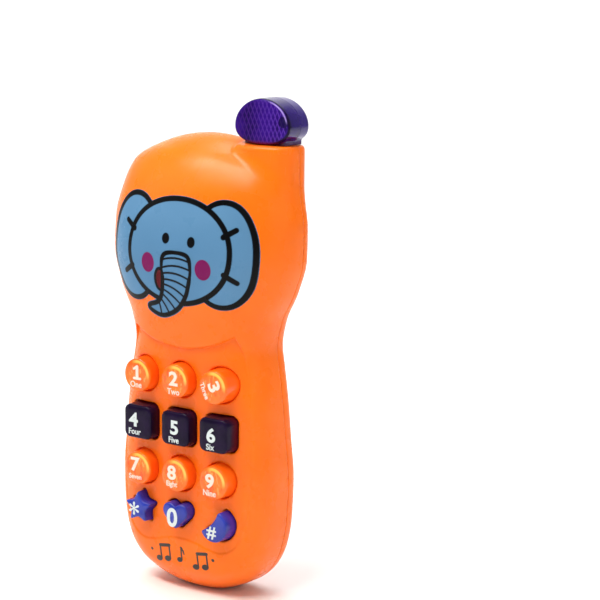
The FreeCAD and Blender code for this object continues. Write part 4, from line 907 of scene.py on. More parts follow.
class Mat:
    """A node material with helpers for noise, mixing and bump. Positions are in metres."""

    def __init__(self, name):
        self.m = bpy.data.materials.new(name)
        self.m.use_nodes = True
        self.nt = self.m.node_tree
        self.nt.nodes.clear()
        self.out = self.node("ShaderNodeOutputMaterial")
        self.bs = self.node("ShaderNodeBsdfPrincipled")
        self.link(self.bs.outputs[0], self.out.inputs["Surface"])
        self.co = self.node("ShaderNodeTexCoord").outputs["Object"]

    def node(self, kind, **props):
        n = self.nt.nodes.new(kind)
        for k, v in props.items():
            setattr(n, k, v)
        return n

    def link(self, a, b):
        self.nt.links.new(a, b)

    def put(self, socket, value):
        if hasattr(value, "is_output") or isinstance(value, bpy.types.NodeSocket):
            self.link(value, socket)
        elif value is not None:
            socket.default_value = value

    def set(self, **kw):
        for k, v in kw.items():
            self.put(self.bs.inputs[k.replace("_", " ")], v)
        return self

    def stretch(self, scale, turn=(0, 0, 0)):
        n = self.node("ShaderNodeMapping")
        n.inputs["Scale"].default_value = scale
        n.inputs["Rotation"].default_value = turn
        self.link(self.co, n.inputs["Vector"])
        return n.outputs[0]

    def noise(self, scale, detail=3.0, rough=0.5, vec=None, distort=0.0):
        n = self.node("ShaderNodeTexNoise")
        n.inputs["Scale"].default_value = scale
        n.inputs["Detail"].default_value = detail
        n.inputs["Roughness"].default_value = rough
        n.inputs["Distortion"].default_value = distort
        self.link(vec if vec is not None else self.co, n.inputs["Vector"])
        return n.outputs["Fac"]

    def ramp(self, value, lo, hi, a=0.0, b=1.0):
        n = self.node("ShaderNodeMapRange", interpolation_type="SMOOTHSTEP")
        self.put(n.inputs["Value"], value)
        n.inputs["From Min"].default_value = lo
        n.inputs["From Max"].default_value = hi
        n.inputs["To Min"].default_value = a
        n.inputs["To Max"].default_value = b
        return n.outputs[0]

    def math(self, op, a, b=0.0):
        n = self.node("ShaderNodeMath", operation=op)
        self.put(n.inputs[0], a)
        self.put(n.inputs[1], b)
        return n.outputs[0]

    def mix(self, fac, a, b):
        n = self.node("ShaderNodeMix", data_type="RGBA")
        self.put(n.inputs["Factor"], fac)
        self.put(n.inputs[6], a)
        self.put(n.inputs[7], b)
        return n.outputs[2]

    def bump(self, height, distance, strength=1.0, normal=None):
        n = self.node("ShaderNodeBump")
        n.inputs["Strength"].default_value = strength
        n.inputs["Distance"].default_value = distance
        self.link(height, n.inputs["Height"])
        if normal is not None:
            self.link(normal, n.inputs["Normal"])
        return n.outputs[0]

    def attribute(self, name):
        n = self.node("ShaderNodeAttribute", attribute_name=name)
        return n.outputs["Fac"]

    def edges(self, lo=0.52, hi=0.62):
        n = self.node("ShaderNodeNewGeometry")
        return self.ramp(n.outputs["Pointiness"], lo, hi)


def shade(c, f):
    return (min(c[0] * f, 1), min(c[1] * f, 1), min(c[2] * f, 1), 1)


def plastic(name, base, rough=0.3, vary=0.06, grain=0.000012, grain_scale=2600, wear_and_sheen=0.25, coat=0.25, sss=0.0, spec=0.5, warm=None):
    """Moulded plastic: slight colour drift, handling smudges, fine orange peel, edges lightened both as rubbed wear and
    as a painted edge highlight, and hairline scuffs.
    """
    m = Mat(name)
    drift = m.noise(28, 2.0)
    col = m.mix(m.ramp(drift, 0.3, 0.7), shade(base, 1 - vary), shade(base, 1 + vary))
    if warm is not None:
        col = m.mix(m.ramp(m.noise(14, 1.0), 0.35, 0.75, 0, 0.5), col, warm)
    # edges lightened by pointiness: partly rubbed wear, partly a painted edge highlight
    edge_wear_and_sheen = m.math("MULTIPLY", m.edges(), m.ramp(m.noise(160, 3.0), 0.42, 0.66, 0.15, 1.0))
    col = m.mix(m.math("MULTIPLY", edge_wear_and_sheen, wear_and_sheen), col, shade((min(base[0] + 0.25, 1), min(base[1] + 0.22, 1), min(base[2] + 0.2, 1), 1), 1.0))
    smudge = m.ramp(m.noise(70, 4.0, 0.6), 0.35, 0.7, -0.045, 0.06)
    scuff = m.ramp(m.noise(1.0, 2.0, 0.5, m.stretch((2200, 90, 90), (0.3, 0.8, 0.5))), 0.66, 0.78, 0.0, 0.10)
    r = m.math("ADD", m.math("ADD", rough, smudge), m.math("ADD", scuff, m.math("MULTIPLY", edge_wear_and_sheen, 0.12)))
    peel = m.bump(m.noise(260, 1.5), 0.00003, 0.5)
    fine = m.bump(m.noise(grain_scale, 2.0), grain, 0.6, peel)
    m.set(Base_Color=col, Roughness=r, Normal=fine, Coat_Weight=coat, Coat_Roughness=0.12, Specular_IOR_Level=spec)
    if sss:
        m.set(Subsurface_Weight=sss, Subsurface_Radius=(0.004, 0.0012, 0.0005), Subsurface_Scale=1.0)
    return m.m


def metal(name, base, rough=0.25, brush_dir=(900, 60, 60), dull=0.3):
    m = Mat(name)
    streak = m.noise(1.0, 3.0, 0.6, m.stretch(brush_dir))
    blot = m.noise(240, 4.0, 0.6)
    col = m.mix(m.ramp(blot, 0.35, 0.75), shade(base, 0.82), shade(base, 1.08))
    col = m.mix(m.ramp(m.noise(700, 3.0), 0.62, 0.75, 0, dull), col, shade(base, 0.45))
    m.set(Base_Color=col, Metallic=1.0, Roughness=m.math("ADD", rough, m.ramp(streak, 0.3, 0.7, -0.06, 0.12)),
          Normal=m.bump(streak, 0.00001, 0.5))
    return m.m


orange = plastic("orange_shell", (0.94, 0.150, 0.0035, 1), 0.28, 0.05, 0.000006, 2600, 0.12, 0.03, 0.10, 0.22, (1.0, 0.185, 0.0040, 1))


def lens_material():
    """Tinted clear plastic: a cut pattern inside a dark rim on the front, clearer round the sides, with a painted
    highlight arc inside the rim, pattern lines painted lighter towards the right, and painted reddish light at the
    bottom.
    """
    m = Mat("indigo_lens")
    sep = m.node("ShaderNodeSeparateXYZ")
    m.link(m.co, sep.inputs[0])
    x, y, z = sep.outputs[0], sep.outputs[1], sep.outputs[2]
    p = 0.0024

    def cut(value):
        t = m.math("ABSOLUTE", m.math("SUBTRACT", m.math("FRACT", m.math("DIVIDE", value, p)), 0.5))
        return m.ramp(t, 0.26, 0.50, 0.0, 1.0)

    zz = m.math("MULTIPLY", z, 0.55)
    xs = m.math("MULTIPLY", x, 1.25)
    up = cut(m.math("ADD", m.math("ADD", xs, zz), 1.0))
    down = cut(m.math("ADD", m.math("SUBTRACT", xs, zz), 1.0))
    lines = m.math("MAXIMUM", up, m.math("MULTIPLY", down, 0.7))
    # the pattern, a dark rim round it, and a painted highlight: a thin bright line inside the rim at the upper right
    rx = m.math("DIVIDE", m.math("SUBTRACT", x, 0.0276), 0.0131)
    dz = m.math("SUBTRACT", z, 0.1860)
    rz = m.math("MULTIPLY", dz, m.ramp(dz, -0.0010, 0.0010, 1 / 0.0073, 1 / 0.0107))
    rr = m.math("ADD", m.math("MULTIPLY", rx, rx), m.math("MULTIPLY", rz, rz))
    face = m.ramp(y, -0.0060, -0.0066)
    inside = m.math("MULTIPLY", m.ramp(rr, 0.90, 0.80), face)
    rim = m.math("MULTIPLY", m.math("MULTIPLY", m.ramp(rr, 0.88, 0.94), m.ramp(y, -0.0056, -0.0064)), 0.9)
    aim = m.math("ADD", m.math("MULTIPLY", rx, 0.80), m.math("MULTIPLY", rz, 0.60))
    arc = m.math("MULTIPLY", m.math("MULTIPLY", m.ramp(rr, 0.79, 0.83), m.ramp(rr, 0.90, 0.86)), m.ramp(aim, 0.70, 0.88))
    arc = m.math("MULTIPLY", m.math("MULTIPLY", arc, face), m.ramp(rz, 0.06, 0.30))
    lines = m.math("MULTIPLY", lines, inside)
    drift = m.ramp(m.noise(110, 2.0), 0.35, 0.65)
    deep = m.mix(drift, (0.010, 0.0008, 0.075, 1), (0.026, 0.003, 0.190, 1))
    side = m.mix(m.ramp(y, -0.0066, 0.004), deep, (0.045, 0.014, 0.260, 1))
    # painted light: the pattern lines grow lighter towards the right, where the light falls
    line_tone = m.mix(m.ramp(x, 0.018, 0.036), (0.040, 0.006, 0.17, 1), (0.085, 0.022, 0.36, 1))
    col = m.mix(lines, side, line_tone)
    boss = m.math("SQRT", m.math("ADD", m.math("POWER", m.math("SUBTRACT", x, 0.0380), 2.0), m.math("POWER", m.math("SUBTRACT", z, 0.1880), 2.0)))
    knob = m.math("MULTIPLY", m.ramp(boss, 0.0024, 0.0019), face)
    col = m.mix(m.math("MULTIPLY", knob, 0.9), col, (0.006, 0.001, 0.050, 1))
    col = m.mix(rim, col, (0.006, 0.001, 0.018, 1))
    # painted highlight: the lilac arc inside the rim
    col = m.mix(m.math("MULTIPLY", arc, 0.8), col, (0.42, 0.30, 0.78, 1))
    # painted reddish light at the bottom of the lens, standing in for the orange shoulder showing through from below
    low = m.ramp(z, 0.1808, 0.1788)
    col = m.mix(m.math("MULTIPLY", low, 0.45), col, (0.30, 0.02, 0.05, 1))
    flow = m.noise(1.0, 2.0, 0.5, m.stretch((90, 300, 90)))
    m.set(Base_Color=col, Roughness=m.math("ADD", 0.07, m.ramp(m.noise(120, 4.0), 0.4, 0.75, 0.0, 0.07)),
          IOR=1.49, Transmission_Weight=m.math("SUBTRACT", 0.42, m.math("MULTIPLY", face, 0.36)),
          Coat_Weight=m.math("SUBTRACT", 0.22, m.math("MULTIPLY", face, 0.22)), Coat_Roughness=0.05,
          Specular_IOR_Level=m.math("SUBTRACT", 0.42, m.math("MULTIPLY", face, 0.32)),
          Normal=m.bump(lines, 0.00012, 0.7, m.bump(flow, 0.00002, 0.3)))
    return m.m


def clear_key_material():
    """Clear orange plastic: cut strokes under the face, a painted highlight arc at the upper right of the face where
    the light comes in, painted shade on the sides and a faint painted glow.
    """
    m = Mat("clear_orange_key")
    reach, way = m.attribute("reach"), m.attribute("way")
    drift = m.noise(140, 2.0)
    col = m.mix(m.ramp(drift, 0.3, 0.7), (1.0, 0.135, 0.006, 1), (1.0, 0.200, 0.009, 1))
    on_face = m.ramp(reach, 0.98, 0.88)
    dash = m.noise(1.0, 2.0, 0.6, m.stretch((900, 60, 330), (0, 0.6, 0)))
    light = m.math("MULTIPLY", m.ramp(dash, 0.56, 0.64), on_face)
    dark = m.math("MULTIPLY", m.ramp(dash, 0.44, 0.36), on_face)
    col = m.mix(m.math("MULTIPLY", light, 0.62), col, (1.0, 0.42, 0.10, 1))
    col = m.mix(m.math("MULTIPLY", dark, 0.60), col, (0.72, 0.050, 0.003, 1))
    # painted highlight: a bright arc just inside the face rim at the upper right
    arc = m.math("MULTIPLY", m.math("MULTIPLY", m.ramp(reach, 0.80, 0.93), m.ramp(reach, 1.22, 1.05)), m.ramp(way, 0.30, 0.85))
    col = m.mix(m.math("MULTIPLY", arc, 0.85), col, (1.0, 0.52, 0.10, 1))
    # painted shade: the sides below the rim darken towards a deeper red
    side = m.ramp(reach, 1.4, 2.6)
    col = m.mix(m.math("MULTIPLY", side, 0.5), col, (0.95, 0.090, 0.004, 1))
    # painted glow: a faint emission of the key's own colour, stronger along the painted highlight arc
    m.set(Base_Color=col, Roughness=m.math("ADD", 0.06, m.ramp(m.noise(150, 4.0), 0.4, 0.75, 0.0, 0.08)),
          IOR=1.46, Transmission_Weight=0.22, Specular_IOR_Level=0.40,
          Emission_Color=col, Emission_Strength=m.math("ADD", 0.10, m.math("MULTIPLY", arc, 0.30)),
          Normal=m.bump(dash, 0.00004, 0.5, m.bump(m.noise(420, 2.0), 0.000012, 0.5)))
    return m.m


def prism_material():
    m = Mat("orange_prism")
    dash = m.noise(1.0, 2.0, 0.6, m.stretch((1500, 300, 520), (0, 0.5, 0)))
    spark = m.ramp(dash, 0.60, 0.70, 0, 0.75)
    dark = m.ramp(dash, 0.40, 0.30, 0, 0.55)
    col = m.mix(spark, (1.0, 0.17, 0.010, 1), (1.0, 0.55, 0.28, 1))
    col = m.mix(dark, col, (0.55, 0.035, 0.004, 1))
    m.set(Base_Color=col, Roughness=0.15, Specular_IOR_Level=0.5,
          Normal=m.bump(dash, 0.00010, 0.8))
    return m.m


def dark_key_material():
    m = Mat("dark_violet_key")
    side = m.node("ShaderNodeSeparateXYZ")
    m.link(m.co, side.inputs[0])
    # painted reflected light: the sides below the face turn dark red, standing in for orange light bounced from the
    # shell
    depth = m.ramp(side.outputs[1], -0.0235, -0.019, 0.0, 1.0)
    tone = m.mix(m.ramp(m.noise(120, 2.0), 0.3, 0.7), (0.006, 0.0025, 0.016, 1), (0.011, 0.0035, 0.026, 1))
    col = m.mix(m.math("MULTIPLY", depth, 0.85), tone, (0.085, 0.004, 0.008, 1))
    # edges lightened a little: partly rubbed wear, partly a painted edge highlight
    edge_wear_and_sheen = m.math("MULTIPLY", m.edges(0.53, 0.66), 0.10)
    col = m.mix(edge_wear_and_sheen, col, (0.16, 0.12, 0.20, 1))
    m.set(Base_Color=col, Roughness=m.math("ADD", 0.13, m.ramp(m.noise(170, 4.0), 0.4, 0.75, 0.0, 0.08)),
          Coat_Weight=0.0, Specular_IOR_Level=0.11,
          Normal=m.bump(m.noise(1200, 2.0), 0.00001, 0.5))
    return m.m


def blue_key_material():
    m = Mat("blue_violet_key")
    side = m.node("ShaderNodeSeparateXYZ")
    m.link(m.co, side.inputs[0])
    # painted reflected light: the sides below the face turn redder, standing in for orange light bounced from the shell
    depth = m.ramp(side.outputs[1], -0.0248, -0.0205, 0.0, 1.0)
    tone = m.mix(m.ramp(m.noise(120, 2.0), 0.3, 0.7), (0.014, 0.028, 0.300, 1), (0.020, 0.040, 0.380, 1))
    col = m.mix(depth, tone, (0.048, 0.018, 0.300, 1))
    # edges lightened a little: partly rubbed wear, partly a painted edge highlight
    edge_wear_and_sheen = m.math("MULTIPLY", m.edges(0.53, 0.66), 0.15)
    col = m.mix(edge_wear_and_sheen, col, (0.25, 0.28, 0.60, 1))
    m.set(Base_Color=col, Roughness=m.math("ADD", 0.15, m.ramp(m.noise(170, 4.0), 0.4, 0.75, 0.0, 0.09)),
          Coat_Weight=0.0, Specular_IOR_Level=0.40, Normal=m.bump(m.noise(1200, 2.0), 0.00001, 0.5))
    return m.m


def print_material(name, base, rough=0.45, speck=0.5):
    """Pad-printed ink: a little thin in places."""
    m = Mat(name)
    thin = m.ramp(m.noise(1400, 3.0, 0.6), 0.55, 0.75, 0.0, speck)
    col = m.mix(thin, base, shade(base, 0.72))
    m.set(Base_Color=col, Roughness=m.math("ADD", rough, m.ramp(m.noise(300, 3.0), 0.3, 0.7, -0.06, 0.08)),
          Normal=m.bump(m.noise(2600, 2.0), 0.00001, 0.5))
    return m.m


def film_material():
    m = Mat("printed_face_film")
    grad = m.ramp(m.noise(22, 1.0), 0.3, 0.7)
    blue = m.mix(grad, lin(80, 124, 162), lin(90, 134, 172))
    dots = m.node("ShaderNodeTexVoronoi")
    dots.inputs["Scale"].default_value = 2600
    m.link(m.co, dots.inputs["Vector"])
    blue = m.mix(m.ramp(dots.outputs["Distance"], 0.1, 0.45, 0.10, 0.0), blue, lin(62, 106, 150))
    col = m.mix(m.attribute("blush"), blue, lin(112, 18, 80))
    col = m.mix(m.attribute("mouth"), col, lin(84, 14, 22))
    col = m.mix(m.attribute("ink"), col, (0.0015, 0.0015, 0.002, 1))
    m.set(Base_Color=col, Roughness=m.math("ADD", 0.30, m.ramp(m.noise(80, 4.0, 0.6), 0.35, 0.7, -0.04, 0.08)),
          Coat_Weight=0.0, Specular_IOR_Level=0.10, Normal=m.bump(m.noise(900, 2.0), 0.00001, 0.5))
    return m.m


def board_material():
    m = Mat("green_board")
    vec = m.stretch((1, 1, 1))
    brick = m.node("ShaderNodeTexBrick")
    brick.inputs["Scale"].default_value = 160
    brick.inputs["Mortar Size"].default_value = 0.06
    brick.inputs["Color1"].default_value = (0.010, 0.16, 0.050, 1)
    brick.inputs["Color2"].default_value = (0.008, 0.13, 0.040, 1)
    brick.inputs["Mortar"].default_value = (0.030, 0.30, 0.09, 1)
    turn = m.stretch((1, 1, 1), (math.pi / 2, 0, 0))
    m.link(turn, brick.inputs["Vector"])
    glass = m.noise(1800, 2.0)
    col = m.mix(m.ramp(glass, 0.4, 0.7, 0, 0.25), brick.outputs["Color"], (0.05, 0.20, 0.08, 1))
    m.set(Base_Color=col, Roughness=m.math("ADD", 0.32, m.ramp(glass, 0.3, 0.7, -0.05, 0.1)),
          Normal=m.bump(brick.outputs["Fac"], 0.00003, 0.5))
    return m.m


def cell_material(flip):
    m = Mat("battery_cell_up" if flip else "battery_cell_down")
    sep = m.node("ShaderNodeSeparateXYZ")
    m.link(m.co, sep.inputs[0])
    z = sep.outputs[2]
    band = m.ramp(z, 0.0595, 0.0600) if flip else m.ramp(z, 0.0400, 0.0395)
    cap = m.ramp(z, 0.0738, 0.0741) if flip else m.ramp(z, 0.0262, 0.0258)
    jacket = m.mix(m.ramp(m.noise(300, 2.0), 0.3, 0.7), (0.012, 0.012, 0.014, 1), (0.022, 0.022, 0.026, 1))
    col = m.mix(band, jacket, (0.62, 0.30, 0.10, 1))
    ring = m.math("MULTIPLY", m.ramp(z, 0.0552, 0.0554), m.ramp(z, 0.0564, 0.0562)) if flip else m.math("MULTIPLY", m.ramp(z, 0.0437, 0.0439), m.ramp(z, 0.0449, 0.0447))
    col = m.mix(ring, col, (0.75, 0.75, 0.76, 1))
    col = m.mix(cap, col, (0.62, 0.62, 0.64, 1))
    low = m.ramp(z, 0.0262, 0.0258) if flip else m.ramp(z, 0.0738, 0.0741)
    col = m.mix(low, col, (0.62, 0.62, 0.64, 1))
    m.set(Base_Color=col, Metallic=m.math("MAXIMUM", m.math("MAXIMUM", cap, low), m.math("MULTIPLY", band, 0.8)),
          Roughness=m.math("ADD", 0.28, m.ramp(m.noise(200, 4.0), 0.4, 0.75, -0.05, 0.1)),
          Normal=m.bump(m.noise(1500, 2.0), 0.00001, 0.5))
    return m.m


lens_mat = lens_material()
clear_mat = clear_key_material()
prism_mat = prism_material()
dark_mat = dark_key_material()
blue_mat = blue_key_material()
film_mat = film_material()
white_ink = print_material("silver_ink", lin(205, 215, 216))
pink_ink = print_material("pale_ink", lin(255, 214, 200))
black_ink = print_material("black_ink", (0.010, 0.010, 0.011, 1), 0.4, 0.3)
cover_mat = plastic("orange_cover", (0.91, 0.145, 0.004, 1), 0.36, 0.05, 0.00002, 2200, 0.2, 0.05, 0.08, 0.30)
rubber_mat = plastic("grey_rubber", (0.30, 0.30, 0.31, 1), 0.62, 0.08, 0.00002, 2400, 0.1, 0.0)
carbon_mat = plastic("carbon_black", (0.020, 0.020, 0.021, 1), 0.75, 0.2, 0.00003, 1800, 0.1, 0.0)
board_mat = board_material()
black_plastic = plastic("black_plastic", (0.018, 0.018, 0.019, 1), 0.45, 0.15, 0.00002, 2200, 0.2, 0.1)
epoxy_mat = plastic("black_epoxy", (0.012, 0.012, 0.013, 1), 0.25, 0.2, 0.00004, 700, 0.0, 0.4)
tan_mat = plastic("tan_ceramic", (0.62, 0.42, 0.24, 1), 0.4, 0.12, 0.00002, 1500, 0.0, 0.1)
blue_can = plastic("blue_sleeve", (0.020, 0.050, 0.22, 1), 0.3, 0.1, 0.00001, 1500, 0.2, 0.2)
paper_mat = plastic("cone_paper", (0.045, 0.043, 0.042, 1), 0.85, 0.3, 0.00008, 1400, 0.1, 0.0)
red_wire = plastic("red_wire", (0.60, 0.020, 0.015, 1), 0.4, 0.08, 0.00001, 1500, 0.1, 0.1)
black_wire = plastic("black_wire", (0.016, 0.016, 0.017, 1), 0.4, 0.1, 0.00001, 1500, 0.1, 0.1)
blue_wire = plastic("blue_wire", (0.02, 0.06, 0.45, 1), 0.4, 0.1, 0.00001, 1500, 0.1, 0.1)
yellow_wire = plastic("yellow_wire", (0.75, 0.50, 0.03, 1), 0.4, 0.1, 0.00001, 1500, 0.1, 0.1)
white_led = plastic("milky_led", (0.80, 0.80, 0.78, 1), 0.2, 0.04, 0.00001, 1500, 0.0, 0.4, 0.2)
red_led = plastic("red_led", (0.70, 0.05, 0.03, 1), 0.18, 0.04, 0.00001, 1500, 0.0, 0.5, 0.3)
zinc = metal("zinc_screw", (0.55, 0.56, 0.58, 1), 0.28, (700, 60, 700))
nickel = metal("nickel_plate", (0.66, 0.65, 0.62, 1), 0.24, (60, 60, 1200))
steel = metal("spring_steel", (0.58, 0.58, 0.58, 1), 0.22, (300, 300, 900))
magnet_mat = metal("ferrite", (0.10, 0.10, 0.105, 1), 0.6, (400, 400, 400), 0.5)
yoke_mat = metal("yoke_steel", (0.62, 0.58, 0.44, 1), 0.3, (500, 80, 500))
copper = metal("copper", (0.75, 0.34, 0.18, 1), 0.3, (300, 300, 900))
solder = metal("solder", (0.60, 0.61, 0.62, 1), 0.35, (300, 300, 300))
pad_mat = metal("carbon_pad", (0.16, 0.15, 0.14, 1), 0.5, (400, 400, 400), 0.4)


# ----------------------------------------------------------------------------- pieces
def stand_for(ob, node, body, *more):
    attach(ob, body)
    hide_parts(node, *more)
    return ob


def on(ob, body):
    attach(ob, body)
    return ob


front = stand_for(mesh_object("front_shell_skin", front_v, front_q, True, orange), "front_shell", "housing")
rear = stand_for(mesh_object("rear_shell_skin", rear_v, rear_q, True, orange), "rear_shell", "housing")
cover = stand_for(mesh_object("battery_cover_skin", cover_v, cover_q, True, cover_mat), "battery_cover", "battery_cover")

# keys
TURN = {"key_3": math.radians(-65)}
GLYPHS = {
    "key_1": ("1", "One", (0.0, 1.1), (-0.3, -3.7)), "key_2": ("2", "Two", (-0.3, 1.0), (-0.3, -4.1)),
    "key_3": ("3", "Three", (-0.1, 1.0), (-0.1, -4.1)), "key_4": ("4", "Four", (-1.7, 0.9), (-1.0, -3.9)),
    "key_5": ("5", "Five", (0.1, 0.5), (-0.1, -4.4)), "key_6": ("6", "Six", (-0.6, 0.2), (-0.9, -4.5)),
    "key_7": ("7", "Seven", (-0.9, 1.4), (-0.9, -3.5)), "key_8": ("8", "Eight", (-1.2, 1.0), (-1.1, -3.8)),
    "key_9": ("9", "Nine", (-1.2, 0.6), (-1.2, -4.1)), "key_star": ("*", "", (-1.6, -0.5), (0, 0)),
    "key_zero_heart": ("0", "", (-1.0, -0.9), (0, 0)), "key_moon": ("#", "", (-0.3, -2.6), (0, 0))}
for key, (digit, word, at, under) in GLYPHS.items():
    kind = KEYS[key][2]
    mat = {"round": clear_mat, "square": dark_mat}.get(kind, blue_mat)
    cap = stand_for(key_cap(key, mat), key, key)
    x, z = key_spot(key)
    if kind == "round":
        on(gem(key, prism_mat, 0.13 * x), key)
    ink = pink_ink if kind == "round" else white_ink
    turn = TURN.get(key, 0.0)
    c, s = math.cos(turn), math.sin(turn)
    size = {"*": 11.5, "0": 10.2, "#": 6.8}.get(digit, 7.5)
    if digit == "1":
        DX, DZ = np.meshgrid(np.arange(x - 4, x + 4, 0.1), np.arange(z - 4, z + 6, 0.1), indexing="ij")
        px, pz = x + at[0], z + at[1]
        one = brush(DX, DZ, [(px + 0.25, pz - 2.3), (px + 0.25, pz + 2.25)], (1.35, 1.35))
        one = np.minimum(one, brush(DX, DZ, [(px + 0.1, pz + 2.25), (px - 1.35, pz + 1.35)], (1.1, 0.9)))
        one = np.minimum(one, brush(DX, DZ, [(px - 1.35, pz - 2.4), (px + 1.85, pz - 2.4)], (1.0, 1.0)))
        dig = film(key + "_digit", DX, DZ, one, {"ink": np.ones(DX.shape)}, ink, lambda u, w, lift: np.full(u.shape, -KEY_TOP - lift), 0.09, -0.03)
    else:
        dig = glyph(key + "_digit", digit, size, x + at[0] * c - at[1] * s, z + at[0] * s + at[1] * c, -KEY_TOP - 0.04, ink,
                    {"*": 0.10, "#": 0.14, "0": 0.26}.get(digit, 0.24), turn, {"*": 1.05, "0": 1.05, "#": 1.1}.get(digit, 1.15))
    on(dig, key)
    if word:
        size = 3.3 if len(word) < 5 else 2.8
        wo = glyph(key + "_word", word, size, x + under[0] * c - under[1] * s, z + under[0] * s + under[1] * c, -KEY_TOP - 0.04, ink, 0.06, turn, 0.98)
        on(wo, key)

# face film: a plain elephant face, drawn from ovals and strokes about its own middle
step = 0.2
X, Z = np.meshgrid(np.arange(-38.0, 41.0, step), np.arange(109.5, 162.0, step), indexing="ij")
MX = 1.4
head = oval(X, Z, MX + 0.2, 137.9, 24.0, 20.1, 0.0, 2.1)
ears = np.minimum(oval(X, Z, MX - 21.6, 138.2, 13.4, 20.4, 0.0, 2.1), oval(X, Z, MX + 20.4, 137.8, 12.8, 20.0, 0.0, 2.1))
trunk_path = spline([(MX + 0.8, 130.4), (MX + 0.6, 127.5), (MX - 0.6, 122.6), (MX - 3.4, 118.0), (MX - 8.0, 114.9), (MX - 13.4, 114.9)], 8, False)
trunk = brush(X, Z, trunk_path, (12.9, 12.8, 12.0, 10.0, 7.4, 5.2, 1.8))
trunk_top = oval(X, Z, MX + 0.8, 132.4, 6.7, 5.0, 0.0, 3.6)
trunk = smin(trunk, trunk_top, 1.2)
LINE = 2.1
outer = np.minimum(np.minimum(head, ears), trunk) - LINE * 0.55
ink = np.full(X.shape, 9.0)
ink = np.minimum(ink, np.abs(head) - LINE * 0.5)
ear_line = np.where(head < 0, 9.0, np.abs(ears) - LINE * 0.5)
ink = np.minimum(ink, ear_line)
ink = np.where(trunk < 0, 9.0, ink)
ink = np.minimum(ink, np.abs(trunk) - 0.95)
ink = np.minimum(ink, np.maximum(-outer, outer + LINE) - LINE * 0.62)
# rings across the trunk, evenly spaced along it
mid = np.vstack([[(MX + 0.8, 135.6)], np.asarray(trunk_path)])
run = np.concatenate([[0], np.cumsum(np.hypot(*np.diff(mid, axis=0).T))])
for k in range(9):
    s_at = 1.4 + 3.05 * k
    if s_at > run[-1] - 3.0:
        break
    here = np.array([np.interp(s_at, run, mid[:, i]) for i in (0, 1)])
    t = np.array([np.interp(s_at + 0.8, run, mid[:, i]) - np.interp(s_at - 0.8, run, mid[:, i]) for i in (0, 1)])
    t = t / np.hypot(*t)
    nrm = np.array([-t[1], t[0]])
    arc_pts = [(here + nrm * w - t * (1.3 - 1.3 * (w / 7.0) ** 2)) for w in np.linspace(-7, 7, 9)]
    ink = np.where(trunk < 0.2, np.minimum(ink, brush(X, Z, arc_pts, (0.8, 0.85, 0.8))), ink)
for sx in (-1, 1):
    ink = np.minimum(ink, oval(X, Z, MX + sx * 6.1 + 1.7, 142.4 - sx * 0.3, 1.8, 2.1))
    ink = np.minimum(ink, brush(X, Z, [(MX + sx * 21.4, 145.0), (MX + sx * 26.0, 147.8)], (2.3, 2.1)))
    ink = np.minimum(ink, brush(X, Z, [(MX + sx * 22.0, 130.6), (MX + sx * 26.6, 127.8)], (2.3, 2.1)))
mouth = np.maximum(oval(X, Z, MX - 7.2, 126.6, 2.4, 4.2), -trunk)
ink = np.minimum(ink, np.maximum(np.abs(oval(X, Z, MX - 7.2, 126.6, 2.4, 4.2)) - 0.6, -trunk))
cheeks = np.minimum(oval(X, Z, MX - 13.2, 132.6, 3.3, 3.9), oval(X, Z, MX + 13.4, 132.0, 3.5, 4.0))
film_ob = film("face_film", X, Z, outer, {"ink": smooth_mask(ink, 0.12), "blush": smooth_mask(cheeks, 0.12), "mouth": smooth_mask(mouth, 0.12)},
               film_mat, surface_y)
stand_for(film_ob, "face_sticker", "housing")

# two music notes printed below the keys, drawn from ovals and strokes
step = 0.14
X, Z = np.meshgrid(np.arange(-17.5, 17.6, step), np.arange(8.5, 22.5, step), indexing="ij")


def note(cx, cz, k, pair):
    d = oval(X, Z, cx, cz, 1.55 * k, 1.1 * k, 0.35)
    d = np.minimum(d, brush(X, Z, [(cx + 1.35 * k, cz + 0.2), (cx + 1.35 * k, cz + 6.2 * k)], (0.5 * k, 0.5 * k)))
    if pair:
        d = np.minimum(d, oval(X, Z, cx + 4.6 * k, cz + 0.7 * k, 1.55 * k, 1.1 * k, 0.35))
        d = np.minimum(d, brush(X, Z, [(cx + 5.95 * k, cz + 0.9 * k), (cx + 5.95 * k, cz + 6.9 * k)], (0.5 * k, 0.5 * k)))
        d = np.minimum(d, brush(X, Z, [(cx + 1.35 * k, cz + 5.9 * k), (cx + 5.95 * k, cz + 6.6 * k)], (1.1 * k, 1.1 * k)))
    else:
        d = np.minimum(d, brush(X, Z, [(cx + 1.35 * k, cz + 6.1 * k), (cx + 2.6 * k, cz + 4.6 * k), (cx + 2.9 * k, cz + 3.2 * k)], (0.9 * k, 0.35 * k)))
    return d


motif = np.minimum(note(-12.0, 12.2, 1.0, True), note(-1.2, 13.6, 0.85, False))
motif = np.minimum(motif, note(6.6, 11.9, 1.0, True))
motif = np.minimum(motif, np.minimum(np.hypot(X + 15.4, Z - 15.6) - 0.55, np.hypot(X - 15.4, Z - 16.4) - 0.55))
notes = film("music_notes", X, Z, motif - 0.13, {"ink": np.ones(X.shape)}, black_ink, surface_y, 0.05, -0.06)
on(notes, "housing")

# antenna lens: two halves, with cut diamonds on the inside of the front face
LX, LZ = 27.65, 186.05


def egg(count=160):
    pts = []
    for i in range(count):
        a = 2 * math.pi * i / count
        c, s = math.cos(a), math.sin(a)
        n = 1.93 if s >= 0 else 2.4
        x = 13.1 * math.copysign(abs(c) ** (2.0 / n), c)
        zz = (10.7 if s >= 0 else 7.25) * math.copysign(abs(s) ** (2.0 / n), s)
        pts.append((LX + x, LZ + zz))
    return ring_resample(ring_smooth(ring_resample(np.array(pts), 120), 2), 120)


egg_plan = Plan(10, 46, 170, 201, 0.2)
egg_plan.v = egg_plan.polygon(egg())


